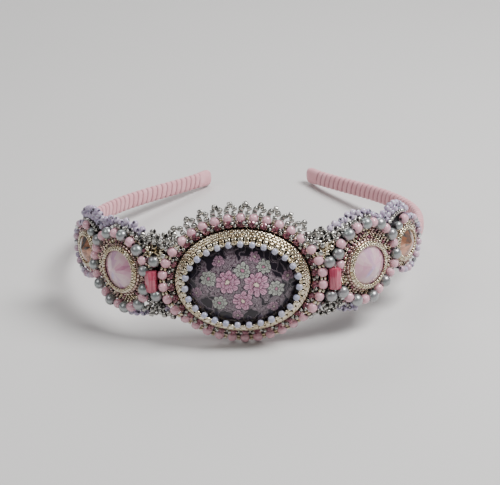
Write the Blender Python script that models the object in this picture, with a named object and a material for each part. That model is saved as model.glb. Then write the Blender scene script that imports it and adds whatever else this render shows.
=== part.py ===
"""Beaded headband: a ribbon-wrapped hair band that carries a front of bead embroidery.

The band is drawn in its own plane first. A place on it is given by three lengths:
arc, along the band's middle line from the front centre (positive towards +X); out, away
from the head; and up, across the band's width. Left and right are as seen from the front.
An empty then tilts that plane, so the headband lies as it does on a table: on the lowest
bead of the centre medallion and on the two ends of the band.
"""
import math
from typing import Callable, NamedTuple

import bmesh
import bpy
from mathutils import Vector


class Bend(NamedTuple):
    """How sharply the band's middle line turns at one distance from the front centre."""

    arc: float
    turn: float


class Oval(NamedTuple):
    """An oval drawn on the band's face: its centre and its two half sizes."""

    arc: float
    up: float
    half_arc: float
    half_up: float


class Finish(NamedTuple):
    """A plain material: its colour, roughness and metallic value."""

    colour: tuple
    roughness: float
    metallic: float


# The hair band: metres, with the turn in radians per metre. Its front is straight up to FLAT_FRONT
FLAT_FRONT = 0.018
BENDS = (
    Bend(arc=0.0, turn=0.0),
    Bend(arc=FLAT_FRONT, turn=0.0),
    Bend(arc=0.024, turn=39.0),
    Bend(arc=0.036, turn=39.0),
    Bend(arc=0.041, turn=13.0),
    Bend(arc=0.052, turn=14.0),
    Bend(arc=0.069, turn=14.0),
    Bend(arc=0.080, turn=17.5),
    Bend(arc=0.105, turn=17.5),
    Bend(arc=0.135, turn=11.0),
    Bend(arc=0.185, turn=-12.0),
)
BAND_HALF_LENGTH = 0.185
BAND_HALF_WIDTH = 0.00315
BAND_HALF_THICKNESS = 0.0018
BAND_FLAT_SHARE = 0.55
BAND_EDGE_SHARE = 0.5
BAND_END_LENGTH = 0.012
# The swollen ends: (share of the end's length left, scale of the outline)
BAND_END_ROWS = ((0.5, 1.125), (0.2, 1.25), (0.05, 1.125), (0.0, 0.75))
WRAP_START = 0.066
WRAP_PITCH = 0.0034
WRAP_GROOVE = 0.0003
PLAIN_STEP = 0.0047
PLAN_STEP = 0.00025

# Room that touching pieces keep between them
GAP = 0.0003

# The dark foundation cloth that the beads are sewn to
CLOTH_BACK = BAND_HALF_THICKNESS + GAP
CLOTH_THICKNESS = 0.0016
CLOTH_FRONT = CLOTH_BACK + CLOTH_THICKNESS
CLOTH_STEP = 0.0017
CLOTH_END = 0.0676
CENTRE_CLOTH = Oval(arc=0.0, up=-0.0021, half_arc=0.0240, half_up=0.0194)
SIDE_CLOTH = Oval(arc=0.0402, up=0.0005, half_arc=0.0118, half_up=0.0120)
OUTER_CLOTH = Oval(arc=0.0599, up=0.0029, half_arc=0.0080, half_up=0.0088)
INNER_NECK = Oval(arc=0.0270, up=-0.0014, half_arc=0.0085, half_up=0.0080)
OUTER_NECK = Oval(arc=0.0515, up=0.0014, half_arc=0.0070, half_up=0.0064)

# Centre medallion: an oval glass cabochon in a wall of gold beads
CABOCHON_HALF_LENGTH = 0.020
CABOCHON_HALF_HEIGHT = 0.015
CABOCHON_EDGE = 0.0025
CABOCHON_DOME = 0.0050
CABOCHON_DOME_ROWS = (0.93, 0.78, 0.52, 0.22)
CABOCHON_SEGMENTS = 40
BEZEL_WALL = 0.0026
BEZEL_SHOULDER = 0.0024
BEZEL_HEIGHT = 0.0064
BEZEL_LIP = 0.0011
BEZEL_LIP_THICKNESS = 0.0007

# The ring of small crystals round the gold wall
CRYSTAL_OUTSET = 0.0037
CRYSTAL_RADIUS = 0.0008
CRYSTAL_SIDES = 5

# The ring of round pink beads at the medallion's edge
PINK_RING = Oval(arc=0.0, up=-0.0021, half_arc=0.0260, half_up=0.0213)
PINK_COUNT = 34
PINK_RADIUS = 0.0015
PINK_LOW_OUT = CLOTH_BACK + 0.0013
PINK_HIGH_OUT = CLOTH_FRONT + GAP + PINK_RADIUS
PINK_RISE_FROM = math.radians(46.0)
PINK_RISE_TO = math.radians(32.0)

# The picot edging above the centre medallion
PICOT_FROM = math.radians(40.0)
PICOT_TO = math.radians(140.0)
PICOT_COUNT = 11
PICOT_LOW = 0.0022
PICOT_HIGH = 0.0050
PICOT_THICKNESS = 0.0018

# Side stones, on each side of the centre
SIDE_STONE_ARC = 0.0396
SIDE_STONE_UP = 0.0
SIDE_STONE_RADIUS = 0.0070
OUTER_STONE_ARC = 0.0592
OUTER_STONE_UP = 0.0029
OUTER_STONE_RADIUS = 0.0052
STONE_FACETS = 16
SIDE_BEZEL_WALL = 0.0011
SIDE_BEZEL_SHOULDER = 0.0018
SIDE_BEZEL_HEIGHT = 0.0040
SIDE_BEZEL_LIP = 0.00045
SIDE_BEZEL_SEGMENTS = 24
SEED_RING_OUTSET = 0.00215
SEED_RADIUS = 0.00065

# Shares of a cut stone's radius: the size of its back and rows, and the height of its rows
BACK_SIZE = 0.75
CROWN_SIZE = 0.58
TABLE_SIZE = 0.18
GIRDLE_LOW = 0.33
GIRDLE_HIGH = 0.40
CROWN_HEIGHT = 0.62
TABLE_HEIGHT = 0.76

# Strings of grey pearls and pink beads round the side stones
PEARL_RADIUS = 0.0020
SMALL_PEARL_RADIUS = 0.0015
SIDE_STRING = Oval(arc=0.0402, up=0.0005, half_arc=0.0112, half_up=0.0129)
SIDE_STRING_FROM = math.radians(-132.0)
SIDE_STRING_TO = math.radians(133.0)
SIDE_STRING_COUNT = 17
OUTER_STRING = Oval(arc=0.0600, up=0.0029, half_arc=0.0083, half_up=0.0093)
OUTER_STRING_FROM = math.radians(-112.0)
OUTER_STRING_TO = math.radians(130.0)
OUTER_STRING_COUNT = 11

# The hexagonal tube bead and the loose pearls between centre and side
TUBE_ARC = 0.0291
TUBE_UP = -0.0020
TUBE_RADIUS = 0.00225
TUBE_HALF_LENGTH = 0.00375
TUBE_BORE = 0.0006
TUBE_CHAMFER = 0.0003
TUBE_SIDES = 6
PEARL_ROWS = 6
JOIN_PEARLS = (
    ("upper_inner", 0.0279, 0.0041),
    ("upper_outer", 0.0298, 0.0076),
    ("lower", 0.0281, -0.0081),
)

# The crystal edging above the side stones
EDGING_FROM = 0.0335
EDGING_TO = 0.0668
EDGING_PITCH = 0.0040
EDGING_LOW = 0.0017
EDGING_HIGH = 0.0036

# A strung bead: its sides, the thinnest place between two, and its shoulders as shares of a radius
BEAD_SIDES = 10
NECK_SHARE = 0.3
SHOULDER_SHARE = 0.92
SHOULDER_OFFSET = 0.42
PATH_SAMPLES = 400

SHARP_ANGLE = math.radians(35.0)
UPRIGHT = math.radians(90.0)
STEEPEST_TILT = math.radians(-30.0)
TILT_STEPS = 40
SIDES = (("left", -1.0), ("right", 1.0))

RIBBON = Finish((0.62, 0.36, 0.37, 1.0), 0.8, 0.0)
CLOTH = Finish((0.03, 0.03, 0.035, 1.0), 0.9, 0.0)
PRINTED_GLASS = Finish((0.30, 0.22, 0.28, 1.0), 0.08, 0.0)
GOLD = Finish((0.72, 0.58, 0.36, 1.0), 0.3, 0.9)
BRONZE = Finish((0.32, 0.16, 0.13, 1.0), 0.35, 0.7)
CLARET = Finish((0.30, 0.05, 0.10, 1.0), 0.15, 0.1)
SILVER = Finish((0.62, 0.62, 0.58, 1.0), 0.25, 0.9)
PINK_GLASS = Finish((0.72, 0.42, 0.47, 1.0), 0.35, 0.0)
PEARL = Finish((0.42, 0.46, 0.46, 1.0), 0.25, 0.2)
ROSE_TUBE = Finish((0.52, 0.09, 0.16, 1.0), 0.2, 0.0)
OPAL_STONE = Finish((0.72, 0.42, 0.52, 1.0), 0.15, 0.0)
PEACH_STONE = Finish((0.55, 0.30, 0.22, 1.0), 0.05, 0.0)
LAVENDER = Finish((0.60, 0.55, 0.68, 1.0), 0.15, 0.0)


def clear_objects() -> None:
    """Remove whatever the file holds."""
    for item in list(bpy.data.objects):
        bpy.data.objects.remove(item, do_unlink=True)


def turn_at(arc: float) -> float:
    """Return the band's turn (radians per metre) at a distance from the front centre."""
    for before, after in zip(BENDS, BENDS[1:]):
        if arc <= after.arc:
            share = (arc - before.arc) / (after.arc - before.arc)
            return before.turn + share * (after.turn - before.turn)
    return BENDS[-1].turn


def trace_band() -> list:
    """Walk along half of the band and return x, y and heading at every step."""
    x, y, heading = 0.0, 0.0, 0.0
    line = [(x, y, heading)]
    steps = round(BAND_HALF_LENGTH / PLAN_STEP)
    for step in range(steps):
        middle = heading + turn_at((step + 0.25) * PLAN_STEP) * PLAN_STEP / 2
        x += math.cos(middle) * PLAN_STEP
        y += math.sin(middle) * PLAN_STEP
        heading += turn_at((step + 0.5) * PLAN_STEP) * PLAN_STEP
        line.append((x, y, heading))
    return line


BAND_LINE = trace_band()


def band_at(arc: float) -> tuple:
    """Return x, y and heading of the band's middle line; a negative arc is the left half."""
    place = abs(arc) / PLAN_STEP
    index = min(int(place), len(BAND_LINE) - 2)
    share = min(place - index, 1.0)
    before, after = BAND_LINE[index], BAND_LINE[index + 1]
    x, y, heading = (a + (b - a) * share for a, b in zip(before, after))
    if arc < 0:
        return -x, y, -heading
    return x, y, heading


def place_on_band(arc: float, out: float, up: float) -> Vector:
    """Return the point of the band's plane at arc, out and up."""
    x, y, heading = band_at(arc)
    return Vector((x + math.sin(heading) * out, y - math.cos(heading) * out, up))


def outward(arc: float) -> Vector:
    """Return the direction away from the head at an arc."""
    heading = band_at(arc)[2]
    return Vector((math.sin(heading), -math.cos(heading), 0.0))


def make_material(name: str, finish: Finish) -> bpy.types.Material:
    """Return the named material, made on first use."""
    material = bpy.data.materials.get(name)
    if material is None:
        material = bpy.data.materials.new(name)
        material.use_nodes = True
        shader = material.node_tree.nodes["Principled BSDF"]
        shader.inputs["Base Color"].default_value = finish.colour
        shader.inputs["Roughness"].default_value = finish.roughness
        shader.inputs["Metallic"].default_value = finish.metallic
    return material


def add_piece(name: str, mesh: bmesh.types.BMesh, finish: Finish, parent: bpy.types.Object):
    """Turn a closed bmesh into a named object with its own material, under a parent."""
    bmesh.ops.recalc_face_normals(mesh, faces=mesh.faces)
    data = bpy.data.meshes.new(name)
    mesh.to_mesh(data)
    mesh.free()
    data.shade_smooth()
    data.set_sharp_from_angle(angle=SHARP_ANGLE)
    data.materials.append(make_material(name, finish))
    piece = bpy.data.objects.new(name, data)
    bpy.context.collection.objects.link(piece)
    piece.parent = parent
    return piece


def loft(sections: list, closed: bool = False) -> bmesh.types.BMesh:
    """Join equal rings of points into one skin, capped at both ends unless it closes."""
    mesh = bmesh.new()
    rings = [[mesh.verts.new(point) for point in section] for section in sections]
    sides = len(rings[0])
    pairs = list(zip(rings, rings[1:]))
    if closed:
        pairs.append((rings[-1], rings[0]))
    for one, other in pairs:
        for index in range(sides):
            after = (index + 1) % sides
            mesh.faces.new((one[index], one[after], other[after], other[index]))
    if not closed:
        mesh.faces.new(rings[0])
        mesh.faces.new(rings[-1])
    return mesh


def band_section(arc: float, scale: float, inset: float) -> list:
    """Return the band's eight-sided outline at an arc, flat on its inner and outer face."""
    thick = BAND_HALF_THICKNESS * scale - inset
    wide = BAND_HALF_WIDTH * scale - inset
    quarter = ((thick, wide * BAND_FLAT_SHARE), (thick * BAND_EDGE_SHARE, wide))
    corners = list(quarter)
    corners += [(-out, up) for out, up in reversed(quarter)]
    corners += [(-out, -up) for out, up in quarter]
    corners += [(out, -up) for out, up in reversed(quarter)]
    return [place_on_band(arc, out, up) for out, up in corners]


def half_band_sections() -> list:
    """Return (arc, scale, inset) from the front to one end: plain, wrapped, then swollen."""
    rows = []
    steps = math.ceil((WRAP_START - FLAT_FRONT) / PLAIN_STEP)
    for step in range(steps):
        rows.append((FLAT_FRONT + (WRAP_START - FLAT_FRONT) * step / steps, 1.0, 0.0))
    end_start = BAND_HALF_LENGTH - BAND_END_LENGTH
    ribs = round((end_start - WRAP_START) / WRAP_PITCH)
    pitch = (end_start - WRAP_START) / ribs
    for rib in range(ribs):
        rows.append((WRAP_START + rib * pitch, 1.0, WRAP_GROOVE))
        rows.append((WRAP_START + (rib + 0.5) * pitch, 1.0, 0.0))
    rows.append((end_start, 1.0, WRAP_GROOVE))
    for left, scale in BAND_END_ROWS:
        rows.append((BAND_HALF_LENGTH - left * BAND_END_LENGTH, scale, 0.0))
    return rows


def build_band(parent: bpy.types.Object) -> None:
    """Make the wrapped hair band, one body from end to end."""
    right = half_band_sections()
    left = [(-arc, scale, inset) for arc, scale, inset in reversed(right)]
    sections = [band_section(*row) for row in left + right]
    add_piece("hair_band", loft(sections), RIBBON, parent)


def oval_reach(oval: Oval, arc: float) -> float:
    """Return how far an oval reaches above its middle at an arc, or -1 outside it."""
    share = (arc - oval.arc) / oval.half_arc
    if abs(share) >= 1.0:
        return -1.0
    return oval.half_up * math.sqrt(1.0 - share * share)


def cloth_edges(arc: float) -> tuple:
    """Return the lower and upper edge of the foundation cloth at an arc."""
    low, high = [], []
    for oval in (CENTRE_CLOTH, INNER_NECK, SIDE_CLOTH, OUTER_NECK, OUTER_CLOTH):
        reach = oval_reach(oval, abs(arc))
        if reach >= 0.0:
            low.append(oval.up - reach)
            high.append(oval.up + reach)
    return min(low), max(high)


def build_cloth(parent: bpy.types.Object) -> None:
    """Make the foundation cloth: one strip with the outline of all five medallions."""
    steps = round(2 * CLOTH_END / CLOTH_STEP)
    sections = []
    for step in range(steps + 1):
        arc = -CLOTH_END + 2 * CLOTH_END * step / steps
        low, high = cloth_edges(arc)
        corners = ((CLOTH_BACK, low), (CLOTH_FRONT, low), (CLOTH_FRONT, high), (CLOTH_BACK, high))
        sections.append([place_on_band(arc, out, up) for out, up in corners])
    add_piece("foundation_cloth", loft(sections), CLOTH, parent)


def oval_ring(half_length: float, half_height: float, height: float, count: int) -> list:
    """Return the points of one level oval, drawn flat with its normal along Z."""
    ring = []
    for index in range(count):
        angle = 2 * math.pi * index / count
        ring.append((half_length * math.cos(angle), half_height * math.sin(angle), height))
    return ring


def set_on_cloth(piece: bpy.types.Object, arc: float, up: float) -> None:
    """Lay a flat-built piece on the cloth's front, its Z axis pointing away from the head."""
    piece.location = place_on_band(arc, CLOTH_FRONT, up)
    piece.rotation_euler = (UPRIGHT, 0.0, band_at(arc)[2])


def build_cabochon(parent: bpy.types.Object) -> None:
    """Make the oval cabochon: a straight edge under a low dome."""
    rows = [(1.0, GAP), (1.0, GAP + CABOCHON_EDGE)]
    for share in CABOCHON_DOME_ROWS:
        height = GAP + CABOCHON_EDGE + CABOCHON_DOME * math.sqrt(1.0 - share * share)
        rows.append((share, height))
    sections = []
    for share, height in rows:
        half_length = CABOCHON_HALF_LENGTH * share
        half_height = CABOCHON_HALF_HEIGHT * share
        sections.append(oval_ring(half_length, half_height, height, CABOCHON_SEGMENTS))
    piece = add_piece("centre_cabochon", loft(sections), PRINTED_GLASS, parent)
    set_on_cloth(piece, 0.0, CENTRE_CLOTH.up)


def wall_ring(half_length: float, half_height: float, profile: tuple, count: int):
    """Make a closed wall round an oval from a loop of (outset, height) corners."""
    sections = []
    for outset, height in profile:
        sections.append(oval_ring(half_length + outset, half_height + outset, height, count))
    return loft(sections, closed=True)


def build_centre_bezel(parent: bpy.types.Object) -> None:
    """Make the gold wall that leans in over the cabochon's edge."""
    profile = (
        (BEZEL_WALL, GAP),
        (BEZEL_WALL, BEZEL_SHOULDER),
        (GAP, BEZEL_HEIGHT),
        (-BEZEL_LIP, BEZEL_HEIGHT),
        (-BEZEL_LIP, BEZEL_HEIGHT - BEZEL_LIP_THICKNESS),
        (GAP, CABOCHON_EDGE + 3 * GAP),
        (GAP, GAP),
    )
    mesh = wall_ring(CABOCHON_HALF_LENGTH, CABOCHON_HALF_HEIGHT, profile, CABOCHON_SEGMENTS)
    piece = add_piece("centre_bezel", mesh, GOLD, parent)
    set_on_cloth(piece, 0.0, CENTRE_CLOTH.up)


def round_profile(outset: float, radius: float, sides: int) -> tuple:
    """Return the outline of a bead row that lies on the cloth, as (outset, height)."""
    corners = []
    for index in range(sides):
        angle = 2 * math.pi * (index + 0.5) / sides
        across = outset + radius * math.cos(angle)
        corners.append((across, GAP + radius * (1.0 + math.sin(angle))))
    return tuple(corners)


def build_crystal_ring(parent: bpy.types.Object) -> None:
    """Make the row of small crystals round the gold wall, as one ring."""
    profile = round_profile(CRYSTAL_OUTSET, CRYSTAL_RADIUS, CRYSTAL_SIDES)
    mesh = wall_ring(CABOCHON_HALF_LENGTH, CABOCHON_HALF_HEIGHT, profile, CABOCHON_SEGMENTS)
    piece = add_piece("centre_crystal_ring", mesh, CLARET, parent)
    set_on_cloth(piece, 0.0, CENTRE_CLOTH.up)


def on_oval(oval: Oval, angle: float) -> tuple:
    """Return (arc, up) on an oval, the angle counted from the side away from the centre."""
    return oval.arc + oval.half_arc * math.cos(angle), oval.up + oval.half_up * math.sin(angle)


def smooth_share(value: float, start: float, end: float) -> float:
    """Return 0 before start and 1 past end, with a smooth rise between them."""
    share = min(max((value - start) / (end - start), 0.0), 1.0)
    return share * share * (3.0 - 2.0 * share)


def measured_path(point_at: Callable, start: float, end: float) -> tuple:
    """Return sampled angles and the length walked up to each of them."""
    step = (end - start) / PATH_SAMPLES
    angles = [start + index * step for index in range(PATH_SAMPLES + 1)]
    lengths = [0.0]
    before = point_at(angles[0])
    for angle in angles[1:]:
        point = point_at(angle)
        lengths.append(lengths[-1] + (point - before).length)
        before = point
    return angles, lengths


def angle_at_length(path: tuple, length: float) -> float:
    """Return the angle at which a measured path has a given length."""
    angles, lengths = path
    for index in range(1, len(lengths)):
        if lengths[index] >= length:
            share = (length - lengths[index - 1]) / (lengths[index] - lengths[index - 1])
            return angles[index - 1] + share * (angles[index] - angles[index - 1])
    return angles[-1]


def string_stations(radii: list, total: float, closed: bool) -> list:
    """Return (length, radius) of each section of a string whose beads fill a length."""
    spare = (total - 2 * sum(radii)) / (len(radii) if closed else max(len(radii) - 1, 1))
    neck = NECK_SHARE * min(radii)
    stations = []
    place = 0.5 * spare if closed else 0.0
    for radius in radii:
        stations.append((place - 0.5 * spare, neck))
        for side in (-1.0, 1.0):
            middle = place + radius
            stations.append((middle + side * SHOULDER_OFFSET * radius, SHOULDER_SHARE * radius))
        place += 2 * radius + spare
    if not closed:
        stations[0] = (0.0, neck)
        stations.append((total, neck))
    return stations


def bead_string(point_at: Callable, start: float, end: float, radii: list, closed: bool = False):
    """Make a string of round beads as one body along a path.

    point_at gives the place of the string's middle line and the outward direction there.
    """
    def place(angle: float) -> Vector:
        return point_at(angle)[0]

    path = measured_path(place, start, end)
    reach = (end - start) / PATH_SAMPLES / 4
    sections = []
    for length, radius in string_stations(radii, path[1][-1], closed):
        angle = angle_at_length(path, length % path[1][-1] if closed else length)
        middle, out = point_at(angle)
        along = (place(angle + reach) - place(angle - reach)).normalized()
        across = along.cross(out).normalized()
        lift = across.cross(along)
        ring = []
        for index in range(BEAD_SIDES):
            turn = 2 * math.pi * index / BEAD_SIDES
            ring.append(middle + radius * (math.cos(turn) * across + math.sin(turn) * lift))
        sections.append(ring)
    return loft(sections, closed)


def pink_ring_at(angle: float) -> tuple:
    """Return place and outward direction of the pink ring, which climbs onto the cloth's necks."""
    arc, up = on_oval(PINK_RING, angle)
    steep = math.asin(abs(math.sin(angle)))
    rise = smooth_share(steep, PINK_RISE_FROM, PINK_RISE_TO)
    out = PINK_LOW_OUT + rise * (PINK_HIGH_OUT - PINK_LOW_OUT)
    return place_on_band(arc, out, up), outward(arc)


def build_pink_ring(parent: bpy.types.Object) -> None:
    """Make the ring of round pink beads, with one bead at the very bottom and one on top."""
    top = math.radians(90.0)
    path = measured_path(lambda angle: pink_ring_at(angle)[0], top, top + 2 * math.pi)
    start = angle_at_length(path, 0.5 * path[1][-1] / PINK_COUNT)
    radii = [PINK_RADIUS] * PINK_COUNT
    mesh = bead_string(pink_ring_at, start, start + 2 * math.pi, radii, closed=True)
    add_piece("pink_bead_ring", mesh, PINK_GLASS, parent)


def build_picot_edge(parent: bpy.types.Object) -> None:
    """Make the scalloped silver edging over the top of the centre medallion."""
    back = CLOTH_BACK + GAP
    front = back + PICOT_THICKNESS
    inner = PINK_RADIUS + GAP
    sections = []
    for step in range(2 * PICOT_COUNT + 1):
        angle = PICOT_FROM + (PICOT_TO - PICOT_FROM) * step / (2 * PICOT_COUNT)
        outer = inner + (PICOT_HIGH if step % 2 else PICOT_LOW)
        ring = []
        for outset, out in ((inner, back), (inner, front), (outer, front), (outer, back)):
            oval = PINK_RING._replace(
                half_arc=PINK_RING.half_arc + outset,
                half_up=PINK_RING.half_up + outset,
            )
            arc, up = on_oval(oval, angle)
            ring.append(place_on_band(arc, out, up))
        sections.append(ring)
    add_piece("centre_picot_edge", loft(sections), SILVER, parent)


def cut_stone(radius: float) -> bmesh.types.BMesh:
    """Make a round stone with a straight girdle, two rows of crown facets and a small table."""
    rows = (
        (BACK_SIZE * radius, GAP, 0.0),
        (radius - GAP / 2, GIRDLE_LOW * radius, 0.0),
        (radius - GAP / 2, GIRDLE_HIGH * radius, 0.0),
        (CROWN_SIZE * radius, CROWN_HEIGHT * radius, 0.5),
        (TABLE_SIZE * radius, TABLE_HEIGHT * radius, 1.0),
    )
    mesh = bmesh.new()
    rings = []
    for size, height, twist in rows:
        ring = []
        for index in range(STONE_FACETS):
            angle = 2 * math.pi * (index + twist) / STONE_FACETS
            ring.append(mesh.verts.new((size * math.cos(angle), size * math.sin(angle), height)))
        rings.append(ring)
    for (lower, upper), (row, above) in zip(zip(rings, rings[1:]), zip(rows, rows[1:])):
        for index in range(STONE_FACETS):
            after = (index + 1) % STONE_FACETS
            if row[2] == above[2]:
                mesh.faces.new((lower[index], lower[after], upper[after], upper[index]))
            else:
                mesh.faces.new((lower[index], lower[after], upper[index]))
                mesh.faces.new((upper[index], lower[after], upper[after]))
    mesh.faces.new(rings[0])
    mesh.faces.new(rings[-1])
    return mesh


def stone_bezel(radius: float) -> bmesh.types.BMesh:
    """Make the gold wall round a cut stone."""
    profile = (
        (SIDE_BEZEL_WALL, GAP),
        (SIDE_BEZEL_WALL, SIDE_BEZEL_SHOULDER),
        (GAP, SIDE_BEZEL_HEIGHT),
        (-SIDE_BEZEL_LIP, SIDE_BEZEL_HEIGHT),
        (-SIDE_BEZEL_LIP, GIRDLE_HIGH * radius + 3 * GAP),
        (GAP, GIRDLE_HIGH * radius + GAP),
        (GAP, GAP),
    )
    return wall_ring(radius, radius, profile, SIDE_BEZEL_SEGMENTS)


def build_stones(side: str, sign: float, parent: bpy.types.Object) -> None:
    """Make the two cut stones of one side, each in its gold wall."""
    stones = (
        ("side", SIDE_STONE_ARC, SIDE_STONE_UP, SIDE_STONE_RADIUS, OPAL_STONE),
        ("outer", OUTER_STONE_ARC, OUTER_STONE_UP, OUTER_STONE_RADIUS, PEACH_STONE),
    )
    for label, arc, up, radius, finish in stones:
        stone = add_piece(f"{label}_stone_{side}", cut_stone(radius), finish, parent)
        set_on_cloth(stone, sign * arc, up)
        bezel = add_piece(f"{label}_bezel_{side}", stone_bezel(radius), GOLD, parent)
        set_on_cloth(bezel, sign * arc, up)
    profile = round_profile(SEED_RING_OUTSET, SEED_RADIUS, CRYSTAL_SIDES)
    mesh = wall_ring(SIDE_STONE_RADIUS, SIDE_STONE_RADIUS, profile, SIDE_BEZEL_SEGMENTS)
    ring = add_piece(f"side_seed_ring_{side}", mesh, BRONZE, parent)
    set_on_cloth(ring, sign * SIDE_STONE_ARC, SIDE_STONE_UP)


def side_string_path(oval: Oval, sign: float, height: float) -> Callable:
    """Return the path of a bead string that lies on the cloth round a side stone."""
    def point_at(angle: float) -> tuple:
        arc, up = on_oval(oval, angle)
        return place_on_band(sign * arc, CLOTH_FRONT + height, up), outward(sign * arc)
    return point_at


def build_side_strings(side: str, sign: float, parent: bpy.types.Object) -> None:
    """Make the strings of alternate pearls and pink beads round the two side stones."""
    strings = (
        ("side", SIDE_STRING, SIDE_STRING_FROM, SIDE_STRING_TO, SIDE_STRING_COUNT, PEARL_RADIUS),
        ("outer", OUTER_STRING, OUTER_STRING_FROM, OUTER_STRING_TO, OUTER_STRING_COUNT,
         SMALL_PEARL_RADIUS),
    )
    for label, oval, start, end, count, pearl in strings:
        radii = [pearl if index % 2 else PINK_RADIUS for index in range(count)]
        path = side_string_path(oval, sign, GAP + pearl)
        mesh = bead_string(path, start, end, radii)
        add_piece(f"{label}_bead_string_{side}", mesh, PEARL, parent)


def build_tube(side: str, sign: float, parent: bpy.types.Object) -> None:
    """Make the six-sided tube bead with its thread hole; it stands upright on the cloth."""
    edge = TUBE_RADIUS - TUBE_CHAMFER
    half = TUBE_HALF_LENGTH
    rows = (
        (TUBE_BORE, -half),
        (edge, -half),
        (TUBE_RADIUS, TUBE_CHAMFER - half),
        (TUBE_RADIUS, half - TUBE_CHAMFER),
        (edge, half),
        (TUBE_BORE, half),
    )
    sections = []
    for size, height in rows:
        ring = []
        for index in range(TUBE_SIDES):
            angle = 2 * math.pi * index / TUBE_SIDES
            ring.append((size * math.cos(angle), size * math.sin(angle), height))
        sections.append(ring)
    piece = add_piece(f"tube_bead_{side}", loft(sections, closed=True), ROSE_TUBE, parent)
    seat = CLOTH_FRONT + GAP + TUBE_RADIUS * math.cos(math.pi / TUBE_SIDES)
    piece.location = place_on_band(sign * TUBE_ARC, seat, TUBE_UP)
    piece.rotation_euler = (0.0, 0.0, band_at(sign * TUBE_ARC)[2])


def build_join_pearls(side: str, sign: float, parent: bpy.types.Object) -> None:
    """Make the single pearls above and below the tube bead."""
    for label, arc, up in JOIN_PEARLS:
        mesh = bmesh.new()
        bmesh.ops.create_uvsphere(
            mesh, u_segments=BEAD_SIDES, v_segments=PEARL_ROWS, radius=PEARL_RADIUS
        )
        pearl = add_piece(f"join_pearl_{label}_{side}", mesh, PEARL, parent)
        pearl.location = place_on_band(sign * arc, CLOTH_FRONT + GAP + PEARL_RADIUS, up)


def edging_start(arc: float) -> float:
    """Return where the side edging begins at an arc: just above the highest bead there."""
    tops = []
    for oval, radius in ((SIDE_STRING, PEARL_RADIUS), (OUTER_STRING, SMALL_PEARL_RADIUS)):
        grown = oval._replace(
            half_arc=oval.half_arc + radius + GAP,
            half_up=oval.half_up + radius + GAP,
        )
        reach = oval_reach(grown, arc)
        if reach >= 0.0:
            tops.append(grown.up + reach)
    return max(tops)


def build_side_edging(side: str, sign: float, parent: bpy.types.Object) -> None:
    """Make the scalloped crystal edging above the two side stones."""
    back = CLOTH_BACK + GAP
    front = back + PICOT_THICKNESS
    steps = 2 * round((EDGING_TO - EDGING_FROM) / EDGING_PITCH)
    sections = []
    for step in range(steps + 1):
        arc = EDGING_FROM + (EDGING_TO - EDGING_FROM) * step / steps
        low = edging_start(arc)
        high = low + (EDGING_HIGH if step % 2 else EDGING_LOW)
        corners = ((back, low), (front, low), (front, high), (back, high))
        sections.append([place_on_band(sign * arc, out, up) for out, up in corners])
    add_piece(f"side_edging_{side}", loft(sections), LAVENDER, parent)


def world_points(parent: bpy.types.Object) -> list:
    """Return every mesh point of the headband in world space."""
    bpy.context.view_layer.update()
    points = []
    for piece in parent.children:
        points.extend(piece.matrix_world @ vertex.co for vertex in piece.data.vertices)
    return points


def lay_on_table(parent: bpy.types.Object) -> None:
    """Tilt the band's plane until front and ends touch z = 0, and centre it over the origin."""
    points = world_points(parent)
    middle = sum(point.y for point in points) / len(points)
    low, high = STEEPEST_TILT, 0.0
    for _ in range(TILT_STEPS):
        tilt = (low + high) / 2
        heights = [(p.y, p.y * math.sin(tilt) + p.z * math.cos(tilt)) for p in points]
        front = min(height for y, height in heights if y < middle)
        ends = min(height for y, height in heights if y >= middle)
        if ends < front:
            low = tilt
        else:
            high = tilt
    parent.rotation_euler = ((low + high) / 2, 0.0, 0.0)
    points = world_points(parent)
    centre_y = (min(p.y for p in points) + max(p.y for p in points)) / 2
    parent.location = (0.0, -centre_y, -min(p.z for p in points))
    bpy.context.view_layer.update()


def main() -> None:
    """Build every piece and lay the headband on the table."""
    clear_objects()
    parent = bpy.data.objects.new("headband", None)
    bpy.context.collection.objects.link(parent)
    build_band(parent)
    build_cloth(parent)
    build_cabochon(parent)
    build_centre_bezel(parent)
    build_crystal_ring(parent)
    build_pink_ring(parent)
    build_picot_edge(parent)
    for side, sign in SIDES:
        build_stones(side, sign, parent)
        build_side_strings(side, sign, parent)
        build_tube(side, sign, parent)
        build_join_pearls(side, sign, parent)
        build_side_edging(side, sign, parent)
    lay_on_table(parent)


main()
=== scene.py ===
"""Looks of a beaded headband: wound ribbon, glass beads, cut stones and a printed cabochon.

Lengths are metres unless a docstring says millimetres. A place on the band is given by three
lengths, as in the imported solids: arc, along the band's middle line from the front centre
(positive towards +X); out, away from the head; and up, across the band's width. Left and right
are as seen from the front.
"""
from __future__ import annotations

import logging
import math
from dataclasses import dataclass, field
from enum import Enum
from typing import Optional, Sequence, Union

import bmesh
import bpy
import numpy as np
from mathutils import Matrix, Vector


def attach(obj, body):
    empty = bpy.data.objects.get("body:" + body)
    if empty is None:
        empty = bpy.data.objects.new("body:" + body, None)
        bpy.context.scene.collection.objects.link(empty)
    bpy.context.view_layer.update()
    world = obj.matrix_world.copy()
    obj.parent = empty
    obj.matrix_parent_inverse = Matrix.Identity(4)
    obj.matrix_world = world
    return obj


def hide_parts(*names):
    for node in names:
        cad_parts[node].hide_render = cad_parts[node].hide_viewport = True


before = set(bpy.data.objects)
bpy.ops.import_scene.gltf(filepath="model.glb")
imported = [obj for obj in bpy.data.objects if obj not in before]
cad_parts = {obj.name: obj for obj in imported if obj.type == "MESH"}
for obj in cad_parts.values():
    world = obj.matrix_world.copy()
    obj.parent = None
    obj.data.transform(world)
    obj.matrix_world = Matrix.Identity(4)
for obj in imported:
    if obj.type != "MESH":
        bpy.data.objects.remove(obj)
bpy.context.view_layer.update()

LOG = logging.getLogger("headband")
MM = 0.001
TONE = "bead_tone"
HOLE = "hole_shade"
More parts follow.
